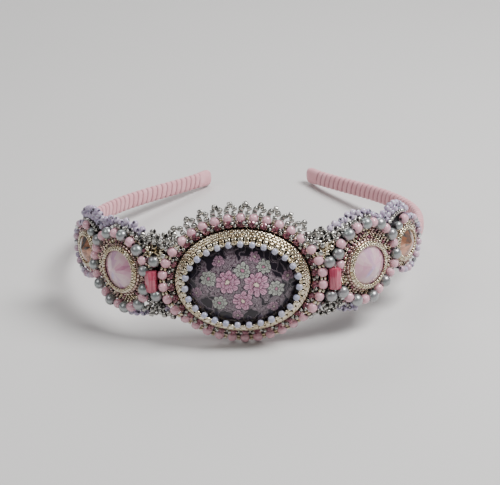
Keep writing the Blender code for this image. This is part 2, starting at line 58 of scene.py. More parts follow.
RELIEF = "relief"
WEAVE = "weave"
SHARE_STEPS = 24

Colour = tuple[float, float, float]
Spot = tuple[float, float]
Lengths = Union[np.ndarray, float]
Ring = tuple[np.ndarray, np.ndarray]
Socket = bpy.types.NodeSocket
Source = Union[Socket, float, Colour]


class Side(Enum):
    """The two sides of the headband, as seen from the front."""

    LEFT = -1
    RIGHT = 1

    @property
    def label(self) -> str:
        """Return the word that piece names carry."""
        return self.name.lower()


@dataclass(frozen=True)
class BandPlane:
    """The curved middle line of the band and the plane it lies in."""

    bends: tuple[Spot, ...] = (
        (0.0, 0.0), (0.018, 0.0), (0.024, 39.0), (0.036, 39.0), (0.041, 13.0), (0.052, 14.0),
        (0.069, 14.0), (0.080, 17.5), (0.105, 17.5), (0.135, 11.0), (0.185, -12.0),
    )
    half_length: float = 0.185
    step: float = 0.00025
    tilt: float = math.radians(-8.864)
    shift: tuple[float, float, float] = (0.0, -0.059146, 0.023954)
    line: np.ndarray = field(init=False, repr=False, compare=False)

    def __post_init__(self) -> None:
        """Walk along half of the band and keep arc, x, y and heading at every step."""
        arcs, turns = zip(*self.bends)
        x = y = heading = 0.0
        rows = [(0.0, x, y, heading)]
        for index in range(round(self.half_length / self.step)):
            turn = np.interp((index + 0.25) * self.step, arcs, turns)
            middle = heading + turn * self.step / 2
            x += math.cos(middle) * self.step
            y += math.sin(middle) * self.step
            heading += np.interp((index + 0.5) * self.step, arcs, turns) * self.step
            rows.append(((index + 1) * self.step, x, y, heading))
        object.__setattr__(self, "line", np.array(rows))

    def heading(self, arc: np.ndarray) -> np.ndarray:
        """Return the band's heading (radians) at signed arcs."""
        return np.sign(arc) * np.interp(np.abs(arc), self.line[:, 0], self.line[:, 3])

    def turned(self, vectors: np.ndarray) -> np.ndarray:
        """Turn vectors of the band's own plane to where the plane lies.

        Args:
            vectors: an array with a last axis of three.

        Returns:
            The turned vectors, in the same shape.
        """
        c, s = math.cos(self.tilt), math.sin(self.tilt)
        x, y, z = vectors[..., 0], vectors[..., 1], vectors[..., 2]
        return np.stack([x, c * y - s * z, s * y + c * z], -1)

    def place(self, arc: Lengths, out: Lengths, up: Lengths) -> np.ndarray:
        """Return points in the row frame.

        Args:
            arc: signed length along the band, a number or an array.
            out: distance away from the head.
            up: distance across the band's width.

        Returns:
            The points, with a last axis of three.
        """
        arc, out, up = np.broadcast_arrays(np.asarray(arc, float), out, up)
        x = np.sign(arc) * np.interp(np.abs(arc), self.line[:, 0], self.line[:, 1])
        y = np.interp(np.abs(arc), self.line[:, 0], self.line[:, 2])
        turn = self.heading(arc)
        flat = np.stack([x + np.sin(turn) * out, y - np.cos(turn) * out, up], -1)
        return self.turned(flat) + np.array(self.shift)

    def outward(self, arc: Lengths) -> np.ndarray:
        """Return the directions away from the head at arcs."""
        turn = self.heading(np.asarray(arc, float))
        return self.turned(np.stack([np.sin(turn), -np.cos(turn), 0.0 * turn], -1))

    def seat(self, arc: float, up: float) -> Seat:
        """Find the flat place on the cloth's front at an arc.

        Args:
            arc: signed length along the band.
            up: distance across the band's width.

        Returns:
            The seat.
        """
        turn = float(self.heading(np.array(arc)))
        along = self.turned(np.array([math.cos(turn), math.sin(turn), 0.0]))
        upward = self.turned(np.array([0.0, 0.0, 1.0]))
        return Seat(self.place(arc, CLOTH_FRONT, up), along, upward, self.outward(arc))


@dataclass(frozen=True)
class Seat:
    """A flat place on the cloth, with its own three directions."""

    origin: np.ndarray
    along: np.ndarray
    upward: np.ndarray
    outward: np.ndarray

    def points(self, local: np.ndarray) -> np.ndarray:
        """Return local points (along, up, out) in the row frame."""
        return self.origin + self.vectors(local)

    def vectors(self, local: np.ndarray) -> np.ndarray:
        """Return local directions in the row frame."""
        return local @ np.stack([self.along, self.upward, self.outward])

    def matrix(self) -> Matrix:
        """Return the seat as an object's matrix."""
        columns = np.stack([self.along, self.upward, self.outward, self.origin], 1)
        return Matrix(np.vstack([columns, [0.0, 0.0, 0.0, 1.0]]).tolist())


GAP = 0.0003
BAND_THICKNESS = 0.0018
BAND_WIDTH = 0.00315
CLOTH_BACK = BAND_THICKNESS + GAP
CLOTH_FRONT = CLOTH_BACK + 0.0016
BAND = BandPlane()


def unit(vectors: np.ndarray) -> np.ndarray:
    """Return vectors of length one."""
    return vectors / np.maximum(np.linalg.norm(vectors, axis=-1, keepdims=True), 1e-12)


def rounded(values: np.ndarray, power: float) -> np.ndarray:
    """Return values of -1 to 1 raised to a power, each with its sign."""
    return np.sign(values) * np.abs(values) ** power


def ellipse(half_x: float, half_y: Lengths, angles: np.ndarray) -> np.ndarray:
    """Return points (x, y) of an ellipse at angles."""
    return np.stack([half_x * np.cos(angles), half_y * np.sin(angles)], -1)


def even_angles(half_x: float, half_y: float, count: int, start: float) -> np.ndarray:
    """Find the angles that part an ellipse into equal lengths.

    Args:
        half_x: half size across.
        half_y: half size upwards.
        count: number of equal lengths.
        start: the first angle, in radians.

    Returns:
        The angles, beginning at start.
    """
    fine = np.linspace(start, start + 2 * math.pi, 1441)
    points = ellipse(half_x, half_y, fine)
    lengths = np.concatenate([[0.0], np.cumsum(np.linalg.norm(np.diff(points, axis=0), axis=1))])
    return np.interp(np.arange(count) / count * lengths[-1], lengths, fine)


def spaced_angles(half_x: float, half_y: float, count: int, share: float) -> np.ndarray:
    """Find the angles of beads spaced evenly round an ellipse, from its top.

    Args:
        half_x: half size across.
        half_y: half size upwards.
        count: number of beads.
        share: how far they are moved on, as a share of their spacing.

    Returns:
        The angles, in radians.
    """
    fine = even_angles(half_x, half_y, count * SHARE_STEPS, 0.5 * math.pi)
    return np.roll(fine, -round(share * SHARE_STEPS))[::SHARE_STEPS]


def make_object(
    name: str,
    points: np.ndarray,
    faces: np.ndarray,
    materials: Sequence[bpy.types.Material],
    smooth: bool = True,
) -> bpy.types.Object:
    """Make a mesh object of four-sided faces.

    Args:
        name: the piece's name.
        points: vertex places, one row each.
        faces: vertex numbers, four to a row.
        materials: the materials of its slots.
        smooth: whether its faces are shaded smooth.

    Returns:
        The object, linked to the scene.
    """
    mesh = bpy.data.meshes.new(name)
    mesh.vertices.add(len(points))
    mesh.vertices.foreach_set("co", points.astype(np.float32).ravel())
    mesh.loops.add(faces.size)
    mesh.loops.foreach_set("vertex_index", faces.astype(np.int32).ravel())
    mesh.polygons.add(len(faces))
    mesh.polygons.foreach_set("loop_start", np.arange(0, faces.size, 4, dtype=np.int32))
    mesh.polygons.foreach_set("use_smooth", np.full(len(faces), smooth))
    for material in materials:
        mesh.materials.append(material)
    mesh.update(calc_edges=True)
    mesh.validate()
    return put_in_scene(name, mesh)


def put_in_scene(name: str, data: bpy.types.ID) -> bpy.types.Object:
    """Make an object of a mesh, a light or a camera.

    Args:
        name: the object's name.
        data: what it holds.

    Returns:
        The object, linked to the scene.
    """
    made = bpy.data.objects.new(name, data)
    bpy.context.scene.collection.objects.link(made)
    return made


def grid_faces(rows: int, columns: int, rows_close: bool, columns_close: bool) -> np.ndarray:
    """Join a grid of points with four-sided faces.

    Args:
        rows: number of rows of points.
        columns: number of points in a row.
        rows_close: whether the last row joins the first.
        columns_close: whether the last column joins the first.

    Returns:
        Vertex numbers, four to a face.
    """
    last_row = rows if rows_close else rows - 1
    last_column = columns if columns_close else columns - 1
    row, column = np.meshgrid(np.arange(last_row), np.arange(last_column), indexing="ij")
    row_after, column_after = (row + 1) % rows, (column + 1) % columns
    corners = (
        row * columns + column,
        row * columns + column_after,
        row_after * columns + column_after,
        row_after * columns + column,
    )
    return np.stack([corner.ravel() for corner in corners], 1)


def set_values(piece: bpy.types.Object, name: str, values: np.ndarray, domain: str) -> None:
    """Keep one number for each point or face of a piece, for its material to read."""
    attribute = piece.data.attributes.new(name, "FLOAT", domain)
    attribute.data.foreach_set("value", values.astype(np.float32))


@dataclass(frozen=True)
class BeadForm:
    """A drilled bead turned about its hole."""

    radius: float
    half_length: float
    hole: float
    squareness: float = 1.0
    sides: int = 10
    rows: int = 6
    faceted: bool = False
    # share of painted shade on the rows beside the hole, so that beads strung end to end read apart
    end_shade: float = 0.0

    def mesh(self) -> tuple[np.ndarray, np.ndarray]:
        """Turn the bead's outline about its hole.

        Returns:
            Points and faces, the hole along X and the bead's middle at the origin.
        """
        turn = np.linspace(-math.pi / 2, math.pi / 2, self.rows + 1)
        wide = np.abs(np.cos(turn)) ** self.squareness
        far = rounded(np.sin(turn), self.squareness)
        reach = self.hole + (self.radius - self.hole) * wide
        angles = 2 * math.pi * np.arange(self.sides) / self.sides
        shape = (self.rows + 1, self.sides)
        points = np.stack([
            np.broadcast_to((far * self.half_length)[:, None], shape),
            reach[:, None] * np.cos(angles),
            reach[:, None] * np.sin(angles),
        ], -1)
        faces = grid_faces(self.rows + 1, self.sides, True, True)
        return points.reshape(-1, 3), faces[:, ::-1]

    def hole_shade(self) -> np.ndarray:
        """Tell how much painted shade each point gets: most at the hole's rims, some on the rows beside
        them, where neighbouring beads meet.

        Returns:
            1 for the points at the hole's rims, less beside them and 0 for the others.
        """
        shade = np.zeros((self.rows + 1, self.sides))
        shade[[0, -1]] = 1.0
        shade[[1, -2]] = self.end_shade
        return shade.ravel()


class BeadWork:
    """Collects drilled beads of several finishes and joins them into one piece."""

    def __init__(self, name: str, seed: int) -> None:
        """Start an empty piece with its own row of random draws.

        Args:
            name: the piece's name.
            seed: the number that its draws start from.
        """
        self.name = name
        self.draws = np.random.default_rng(seed)
        self.points: list[np.ndarray] = []
        self.faces: list[np.ndarray] = []
        self.tones: list[np.ndarray] = []
        self.holes: list[np.ndarray] = []
        self.slots: list[np.ndarray] = []
        self.smooth: list[np.ndarray] = []
        self.finishes: list[bpy.types.Material] = []
        self.count = 0
        self.beads = 0

    def add(
        self,
        form: BeadForm,
        finish: Finish,
        centres: np.ndarray,
        axes: np.ndarray,
        wobble: float = 0.05,
        spread: float = 0.03,
    ) -> None:
        """Add one bead at each centre.

        Args:
            form: the bead's shape.
            finish: its finish.
            centres: the beads' middles.
            axes: the directions of their holes.
            wobble: how far the holes lean at random.
            spread: how much the beads differ in size.
        """
        centres = np.atleast_2d(centres)
        total = len(centres)
        if total == 0:
            return
        axis = unit(np.broadcast_to(axes, centres.shape) + self.draws.normal(0, wobble, (total, 3)))
        spin = self.draws.normal(0, 1, (total, 3))
        side = unit(spin - np.sum(spin * axis, 1, keepdims=True) * axis)
        third = np.cross(axis, side)
        scale = 1.0 + spread * self.draws.uniform(-1, 1, total)
        shape, faces = form.mesh()
        turned = np.einsum("vk,nkc->nvc", shape, np.stack([axis, side, third], 1))
        points = centres[:, None] + turned * scale[:, None, None]
        offsets = self.count + len(shape) * np.arange(total)
        self.points.append(points.reshape(-1, 3))
        self.faces.append((faces[None] + offsets[:, None, None]).reshape(-1, 4))
        self.tones.append(np.repeat(self.draws.uniform(0, 1, total), len(shape)))
        self.holes.append(np.tile(form.hole_shade(), total))
        material = finish.material()
        if material not in self.finishes:
            self.finishes.append(material)
        slot = self.finishes.index(material)
        self.slots.append(np.full(total * len(faces), slot))
        self.smooth.append(np.full(total * len(faces), not form.faceted))
        self.count += total * len(shape)
        self.beads += total

    def scatter(
        self,
        form: BeadForm,
        blend: Sequence[tuple[Finish, float]],
        centres: np.ndarray,
        axes: np.ndarray,
        pick: np.ndarray,
        wobble: float,
    ) -> None:
        """Add beads of one shape in several finishes.

        Args:
            form: the beads' shape.
            blend: the finishes, each with the number below which it is picked.
            centres: the beads' middles.
            axes: the directions of their holes.
            pick: each bead's own number, from 0 to 1.
            wobble: how far the holes lean at random.
        """
        axes = np.broadcast_to(axes, centres.shape)
        start = 0.0
        for finish, end in blend:
            mine = (pick >= start) & (pick < end)
            self.add(form, finish, centres[mine], axes[mine], wobble=wobble)
            start = end

    def join(self, slot: str, *nodes: str) -> None:
        """Join the beads into one piece that rides on the headband.

        Args:
            slot: the record's material slot.
            nodes: the solids that the piece stands for.
        """
        points, faces = np.concatenate(self.points), np.concatenate(self.faces)
        made = make_object(self.name, points, faces, self.finishes)
        made.data.polygons.foreach_set("material_index", np.concatenate(self.slots).astype(np.int32))
        made.data.polygons.foreach_set("use_smooth", np.concatenate(self.smooth))
        set_values(made, TONE, np.concatenate(self.tones), "POINT")
        set_values(made, HOLE, np.concatenate(self.holes), "POINT")
        settle(made, slot, *nodes)
        LOG.info("%s: %d beads", self.name, self.beads)


def skin(name: str, rings: np.ndarray, finish: Finish) -> bpy.types.Object:
    """Cover a row of rings with faces and close its two ends.

    Args:
        name: the piece's name.
        rings: rows of points, each row a ring.
        finish: the piece's finish.

    Returns:
        The object, all its faces turned outward.
    """
    rows, sides = rings.shape[:2]
    faces = grid_faces(rows, sides, False, True)
    made = make_object(name, rings.reshape(-1, 3), faces, [finish.material()])
    mesh = bmesh.new()
    mesh.from_mesh(made.data)
    mesh.verts.ensure_lookup_table()
    for row in (0, rows - 1):
        mesh.faces.new([mesh.verts[row * sides + side] for side in range(sides)])
    bmesh.ops.recalc_face_normals(mesh, faces=mesh.faces)
    mesh.to_mesh(made.data)
    mesh.free()
    made.data.shade_smooth()
    return made


def settle(piece: bpy.types.Object, slot: str, *nodes: str) -> None:
    """Let a piece ride on the headband and hide the solids it stands for.

    Args:
        piece: the piece.
        slot: the record's material slot; not used.
        nodes: the solids that the piece stands for.
    """
    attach(piece, "root")
    if nodes:
        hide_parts(*nodes)


class NodeSheet:
    """Lays out the shader nodes of one material."""

    def __init__(self, name: str) -> None:
        """Start a material with its plain shader.

        Args:
            name: the material's name.
        """
        self.material = bpy.data.materials.new(name)
        self.material.use_nodes = True
        self.tree = self.material.node_tree
        self.shader = self.tree.nodes["Principled BSDF"]

    def add(self, kind: str, **settings: Union[str, bool]) -> bpy.types.Node:
        """Add a node.

        Args:
            kind: Blender's name for the node.
            settings: the node's options.

        Returns:
            The node.
        """
        node = self.tree.nodes.new(kind)
        for key, value in settings.items():
            setattr(node, key, value)
        return node

    def feed(self, target: Socket, source: Source) -> None:
        """Join a socket to a target, or set the target's value.

        Args:
            target: the input.
            source: a socket, a number or a colour.
        """
        if isinstance(source, Socket):
            self.tree.links.new(source, target)
        elif isinstance(source, tuple) and len(target.default_value) == 4:
            target.default_value = (*source, 1.0)
        else:
            target.default_value = source

    def math(
        self, operation: str, first: Source, second: Source = 0.0, third: Source = 0.0
    ) -> Socket:
        """Work on up to three values.

        Args:
            operation: Blender's name for the sum.
            first: a value.
            second: another value.
            third: a last value.

        Returns:
            The result.
        """
        node = self.add("ShaderNodeMath", operation=operation)
        for socket, value in zip(node.inputs, (first, second, third)):
            self.feed(socket, value)
        return node.outputs[0]

    def vector(self, operation: str, first: Source, second: Source = (0.0, 0.0, 0.0)) -> Socket:
        """Work on two vectors.

        Args:
            operation: Blender's name for the sum.
            first: a vector.
            second: another vector.

        Returns:
            The result, a number for LENGTH and a vector otherwise.
        """
        node = self.add("ShaderNodeVectorMath", operation=operation)
        self.feed(node.inputs[0], first)
        self.feed(node.inputs[1], second)
        return node.outputs["Value" if operation == "LENGTH" else "Vector"]

    def mix(self, share: Source, first: Source, second: Source) -> Socket:
        """Mix two colours.

        Args:
            share: 0 for the first to 1 for the second.
            first: a colour.
            second: another colour.

        Returns:
            The mixed colour.
        """
        node = self.add("ShaderNodeMix", data_type="RGBA", blend_type="MIX", clamp_factor=True)
        self.feed(node.inputs[0], share)
        self.feed(node.inputs[6], first)
        self.feed(node.inputs[7], second)
        return node.outputs[2]

    def ease(self, value: Source, start: float, end: float) -> Socket:
        """Turn a value into a smooth step.

        Args:
            value: the value.
            start: where the step is 0.
            end: where it reaches 1.

        Returns:
            The step, from 0 to 1.
        """
        node = self.add("ShaderNodeMapRange", interpolation_type="SMOOTHSTEP")
        for socket, given in zip(node.inputs, (value, start, end, 0.0, 1.0)):
            self.feed(socket, given)
        return node.outputs[0]

    def scaled(self, value: Source, low: float, high: float) -> Socket:
        """Return a value of 0 to 1 stretched to low to high."""
        return self.math("MULTIPLY_ADD", value, high - low, low)

    def places(self) -> Socket:
        """Return the places on the piece, in its own axes."""
        return self.add("ShaderNodeTexCoord").outputs["Object"]

    def parts(self, vector: Source) -> Sequence[Socket]:
        """Split a vector.

        Args:
            vector: the vector.

        Returns:
            Its three numbers.
        """
        node = self.add("ShaderNodeSeparateXYZ")
        self.feed(node.inputs[0], vector)
        return node.outputs

    def clouds(self, scale: float, detail: float, where: Source) -> bpy.types.Node:
        """Add a cloud texture.

        Args:
            scale: how many clouds lie on one unit of length.
            detail: how many finer clouds lie in each.
            where: the places.

        Returns:
            The node.
        """
        node = self.add("ShaderNodeTexNoise")
        node.inputs["Scale"].default_value = scale
        node.inputs["Detail"].default_value = detail
        self.feed(node.inputs["Vector"], where)
        return node

    def noise(self, scale: float, detail: float = 2.0, where: Optional[Socket] = None) -> Socket:
        """Return cloudy values of 0 to 1, on the piece's own places unless others are given."""
        return self.clouds(scale, detail, where or self.places()).outputs["Fac"]

    def drift(self, where: Socket, scale: float, detail: float, reach: float) -> Socket:
        """Pull flat places about by slow clouds.

        Args:
            where: the places.
            scale: how many clouds lie on one unit of length.
            detail: how many finer clouds lie in each.
            reach: how far the farthest places are drawn apart.

        Returns:
            The moved places.
        """
        colour = self.clouds(scale, detail, where).outputs["Color"]
        pull = self.vector("SUBTRACT", colour, (0.5, 0.5, 0.5))
        return self.vector("ADD", where, self.vector("MULTIPLY", pull, (reach, reach, 0.0)))

    def kept(self, name: str) -> Socket:
        """Return a number that the mesh keeps for each point."""
        return self.add("ShaderNodeAttribute", attribute_name=name).outputs["Fac"]

    def bump(self, height: Source, strength: float, depth: float) -> None:
        """Raise the surface.

        Args:
            height: 0 to 1 over the surface.
            strength: share of the relief that shows.
            depth: the highest rise, in metres.
        """
        node = self.add("ShaderNodeBump")
        node.inputs["Strength"].default_value = strength
        node.inputs["Distance"].default_value = depth
        self.feed(node.inputs["Height"], height)
        self.feed(self.shader.inputs["Normal"], node.outputs[0])

    def dress(self, **values: Source) -> bpy.types.Material:
        """Set the shader's own sockets.

        Args:
            values: what each socket gets, by its name with spaces as underscores.

        Returns:
            The finished material.
        """
        for key, value in values.items():
            self.feed(self.shader.inputs[key.replace("_", " ")], value)
        return self.material


@dataclass(frozen=True)
class Finish:
    """A finish with a name; the material is made once."""

    name: str

    def material(self) -> bpy.types.Material:
        """Return the finish's material, made on first use."""
        return bpy.data.materials.get(self.name) or self.make()

    def make(self) -> bpy.types.Material:
        """Build the material's nodes."""
        raise NotImplementedError


@dataclass(frozen=True)
class BeadGlass(Finish):
    """Glass, or plated glass, in which every bead has a tone of its own."""

    colour: Colour = (0.5, 0.5, 0.5)
    deep: Colour = (0.2, 0.2, 0.2)
    roughness: float = 0.2
    # Give every facet a tone that sweeps round the stone as painted reflections, a little unevenly at
    # random.
    metallic: float = 0.0
    coat: float = 0.0
    transmission: float = 0.0
    subsurface: float = 0.0
    film: float = 0.0
    mottle: float = 0.35
    # brightness of the painted shade at the hole, as a share of the deep colour
    hole_shade_brightness: float = 0.16
    clouds_per_metre: float = 1100.0
    pits_per_metre: float = 4200.0
    pit_depth: float = 0.00003

    def make(self) -> bpy.types.Material:
        """Build glass with cloudy depth, fine pits, a slightly uneven gloss and painted shade at the hole
        and the bead's ends.

        Returns:
            The material.
        """
        sheet = NodeSheet(self.name)
        cloud = sheet.noise(self.clouds_per_metre, 3.0)
        tone = sheet.math("MULTIPLY", sheet.kept(TONE), 1.0 - self.mottle)
        share = sheet.math("MULTIPLY_ADD", sheet.ease(cloud, 0.38, 0.62), self.mottle, tone)
        colour = sheet.mix(share, self.colour, self.deep)
        # painted shade: the hole's rims and the bead's ends are darkened towards a dim copy of the deep
        # colour
        hole = tuple(self.hole_shade_brightness * part for part in self.deep)
        sheet.bump(sheet.noise(self.pits_per_metre), 0.25, self.pit_depth)
        return sheet.dress(
            Base_Color=sheet.mix(sheet.ease(sheet.kept(HOLE), 0.15, 0.9), colour, hole),
            Roughness=sheet.scaled(cloud, 0.7 * self.roughness, 1.3 * self.roughness),
            Metallic=self.metallic,
            Coat_Weight=self.coat,
            Coat_Roughness=0.06,
            Transmission_Weight=self.transmission,
            Subsurface_Weight=self.subsurface,
            Subsurface_Radius=(0.001, 0.0007, 0.0007),
            Subsurface_Scale=0.6,
            Thin_Film_Thickness=self.film,
            IOR=1.5,
        )


@dataclass(frozen=True)
class PearlCoat(Finish):
    """The lustrous coat of a glass pearl, each bead a little paler at random."""

    colour: Colour = (0.28, 0.315, 0.31)
    pale: Colour = (0.42, 0.46, 0.455)
    blush: Colour = (0.34, 0.32, 0.34)
    clouds_per_metre: float = 420.0
    grain_per_metre: float = 3500.0
    grain_depth: float = 0.00003

    def make(self) -> bpy.types.Material:
        """Build the coat's cloudy body, its fine grain, its soft gloss and the painted shade at its hole.

        Returns:
            The material.
        """
        sheet = NodeSheet(self.name)
        cloud = sheet.ease(sheet.noise(self.clouds_per_metre), 0.35, 0.7)
        body = sheet.mix(cloud, self.colour, self.blush)
        body = sheet.mix(sheet.math("MULTIPLY", sheet.kept(TONE), 0.4), body, self.pale)
        # painted shade: the hole's rims are darkened almost to black
        hole = sheet.ease(sheet.kept(HOLE), 0.3, 1.0)
        sheet.bump(sheet.noise(self.grain_per_metre, 3.0), 0.15, self.grain_depth)
        return sheet.dress(
            Base_Color=sheet.mix(hole, body, (0.02, 0.02, 0.02)),
            Roughness=sheet.scaled(sheet.noise(1500.0), 0.27, 0.36),
            Metallic=0.62,
            Coat_Weight=0.6,
            Coat_Roughness=0.11,
        )


@dataclass(frozen=True)
class WoundRibbon(Finish):
    """Soft woven ribbon, with shade painted into the grooves between its turns and between its threads."""

    colour: Colour = (0.81, 0.41, 0.45)
    pale: Colour = (0.88, 0.50, 0.54)
    # colour of the painted shade in the grooves between the turns and between the threads
    groove: Colour = (0.27, 0.11, 0.13)
    thread_pitch: float = 0.00022
    thread_height: float = 0.00008
    fuzz_per_metre: float = 5200.0

    def make(self) -> bpy.types.Material:
        """Build the ribbon's weave, its cloudy tone and the painted shade in its grooves and between its
        threads.

        Returns:
            The material.
        """
        sheet = NodeSheet(self.name)
        along, around, _ = sheet.parts(sheet.add("ShaderNodeUVMap", uv_map=WEAVE).outputs[0])
        wave = 2 * math.pi / self.thread_pitch
        warp, weft = (
            sheet.math("SINE", sheet.math("MULTIPLY", length, wave)) for length in (along, around)
        )
        weave = sheet.math("MULTIPLY_ADD", sheet.math("MULTIPLY", warp, weft), 0.5, 0.5)
        cloud = sheet.noise(260.0, 5.0)
        fuzz = sheet.noise(self.fuzz_per_metre)
        colour = sheet.mix(sheet.ease(cloud, 0.35, 0.7), self.colour, self.pale)
        # painted shade between the threads of the weave
        colour = sheet.mix(sheet.math("MULTIPLY", weave, 0.18), colour, self.groove)
        # painted shade in the grooves between the ribbon's turns, read from the ridges' relief
        depth = sheet.ease(sheet.kept(RELIEF), 0.96, 0.30)
        colour = sheet.mix(sheet.math("MULTIPLY", depth, 0.85), colour, self.groove)
        sheet.bump(sheet.math("MULTIPLY_ADD", fuzz, 0.9, weave), 0.55, self.thread_height)
        return sheet.dress(
            Base_Color=colour,
            Roughness=sheet.scaled(cloud, 0.78, 0.95),
            Sheen_Weight=0.28,
            Sheen_Roughness=0.45,
            Sheen_Tint=(0.95, 0.70, 0.72),
            Specular_IOR_Level=0.25,
        )


@dataclass(frozen=True)
class Suede(Finish):
    """Short-napped cloth that the beads are sewn to."""

    colour: Colour = (0.020, 0.019, 0.022)
    pale: Colour = (0.055, 0.050, 0.056)
    patches_per_metre: float = 180.0
    fuzz_per_metre: float = 4800.0
    nap: float = 0.00012

    def make(self) -> bpy.types.Material:
        """Build the nap: brushed patches over fine fuzz.

        Returns:
            The material.
        """
        sheet = NodeSheet(self.name)
        patch = sheet.ease(sheet.noise(self.patches_per_metre, 4.0), 0.38, 0.66)
        fuzz = sheet.noise(self.fuzz_per_metre, 4.0)
        share = sheet.math("MULTIPLY_ADD", fuzz, 0.45, sheet.math("MULTIPLY", patch, 0.5))
        sheet.bump(fuzz, 0.7, self.nap)
        return sheet.dress(
            Base_Color=sheet.mix(share, self.colour, self.pale),
            Roughness=sheet.scaled(fuzz, 0.86, 1.0),
            Sheen_Weight=0.5,
            Sheen_Roughness=0.5,
            Sheen_Tint=(0.35, 0.33, 0.36),
            Specular_IOR_Level=0.2,
        )


@dataclass(frozen=True)
class Thread(Finish):
    """Waxed sewing thread with a visible twist."""

    colour: Colour = (0.09, 0.08, 0.085)
    lighter: float = 2.4
    twists_per_metre: float = 900.0
    twist_depth: float = 0.00005

    def make(self) -> bpy.types.Material:
        """Build the twist as fine slanting waves, with painted light on their crests and painted shade in
        their troughs.

        Returns:
            The material.
        """
        sheet = NodeSheet(self.name)
        wave = sheet.add("ShaderNodeTexWave", bands_direction="DIAGONAL")
        wave.inputs["Scale"].default_value = self.twists_per_metre
        sheet.feed(wave.inputs["Vector"], sheet.places())
        sheet.bump(wave.outputs["Fac"], 0.5, self.twist_depth)
        # lit copy of the thread's colour: painted light on the twist's crests
        pale = tuple(self.lighter * part for part in self.colour)
        return sheet.dress(
            Base_Color=sheet.mix(wave.outputs["Fac"], self.colour, pale),
            Roughness=sheet.scaled(sheet.noise(700.0), 0.55, 0.75),
        )


@dataclass(frozen=True)
class CutStone(Finish):
    """A cut stone whose facets differ in tone as painted reflections, a little unevenly at random, with a
    painted glint of another hue.
    """

    shades: tuple[Colour, ...] = ()
    # a painted glint: a streak of another hue along one ridge
    glint: Colour = (0.45, 0.45, 0.85)
    glint_share: float = 0.5
    glint_turn: float = 0.0
    radius: float = 0.007
    roughness: float = 0.08
    milk: float = 0.3
    metallic: float = 0.0
    unevenness: float = 0.1
    # painted reflections: how many times, how strongly and from which turn the facet tones sweep round the
    # stone
    cycles: float = 2.0
    sweep: float = 0.38
    sweep_turn: float = 0.0
    clouds_per_metre: float = 380.0

    def make(self) -> bpy.types.Material:
        """Build facets of several shades, a faint cloud inside and a painted glint along one ridge.

        Returns:
            The material.
        """
        sheet = NodeSheet(self.name)
        ramp = sheet.add("ShaderNodeValToRGB")
        ramp.color_ramp.interpolation = "EASE"
        stops = ramp.color_ramp.elements
        while len(stops) < len(self.shades):
            stops.new(0.5)
        for index, (stop, shade) in enumerate(zip(stops, self.shades)):
            stop.position = index / max(len(self.shades) - 1, 1)
            stop.color = (*shade, 1.0)
        places = sheet.places()
        cloud = sheet.noise(self.clouds_per_metre, 3.0, places)
        # the facets' tones carry the painted reflections, mixed with a faint cloud
        tone = sheet.math("MULTIPLY_ADD", cloud, 0.35, sheet.math("MULTIPLY", sheet.kept(TONE), 0.75))
        sheet.feed(ramp.inputs[0], tone)
        # painted glint: a short streak of the glint's hue along one ridge, fixed on the stone
        x, y, _ = sheet.parts(places)
        c, s = math.cos(self.glint_turn), math.sin(self.glint_turn)
        forth = sheet.math("ADD", sheet.math("MULTIPLY", x, c), sheet.math("MULTIPLY", y, s))
        aside = sheet.math("SUBTRACT", sheet.math("MULTIPLY", y, c), sheet.math("MULTIPLY", x, s))
        near = sheet.ease(sheet.math("ABSOLUTE", aside), 0.16 * self.radius, 0.0)
        reach = sheet.math("ABSOLUTE", sheet.math("SUBTRACT", forth, 0.34 * self.radius))
        glint = sheet.math("MULTIPLY", near, sheet.ease(reach, 0.42 * self.radius, 0.05 * self.radius))
        colour = sheet.mix(sheet.math("MULTIPLY", glint, self.glint_share), ramp.outputs[0], self.glint)
        return sheet.dress(
            Base_Color=colour,
            Roughness=sheet.scaled(cloud, 0.6 * self.roughness, 1.4 * self.roughness),
            Metallic=self.metallic,
            Subsurface_Weight=self.milk,
            Subsurface_Radius=(0.0015, 0.001, 0.0012),
            Subsurface_Scale=0.5,
            Coat_Weight=1.0,
            Coat_Roughness=0.03,
            IOR=1.55,
        )


@dataclass(frozen=True)
class StreakedGlass(Finish):
    """Translucent pressed glass with silky streaks along a tube."""

    colour: Colour = (0.37, 0.045, 0.090)
    pale: Colour = (0.56, 0.125, 0.180)
    stretch: float = 0.08
    streaks_per_metre: float = 2600.0
    streak_depth: float = 0.00004

    def make(self) -> bpy.types.Material:
        """Build streaks that run along the bead's own long axis.

        Returns:
            The material.
        """
        sheet = NodeSheet(self.name)
        stretched = sheet.vector("MULTIPLY", sheet.places(), (1.0, 1.0, self.stretch))
        streak = sheet.ease(sheet.noise(self.streaks_per_metre, 3.0, stretched), 0.36, 0.68)
        sheet.bump(streak, 0.2, self.streak_depth)
        return sheet.dress(
            Base_Color=sheet.mix(streak, self.colour, self.pale),
            Roughness=sheet.scaled(streak, 0.1, 0.2),
            Subsurface_Weight=0.35,
            Subsurface_Radius=(0.002, 0.0006, 0.0008),
            Subsurface_Scale=0.6,
            Coat_Weight=0.8,
            Coat_Roughness=0.05,
            IOR=1.52,
        )


class Motif(Enum):
    """The small pictures that the cabochon's print is made of."""

    ROSE = "rose"
    DAISY = "daisy"
    BUD = "bud"


INKS = {
    Motif.ROSE: ((0.22, 0.055, 0.115), (0.74, 0.42, 0.56), (0.80, 0.66, 0.55)),
    Motif.DAISY: ((0.11, 0.115, 0.105), (0.58, 0.60, 0.54), (0.50, 0.20, 0.31)),
    Motif.BUD: ((0.16, 0.065, 0.115), (0.52, 0.33, 0.42), (0.60, 0.54, 0.46)),
}


@dataclass(frozen=True)
class PrintFlower:
    """One flower of the print, placed in millimetres from the middle of the cabochon."""

    motif: Motif
    x: float
    y: float
    size: float
    petals: int
    turn: float = 0.0


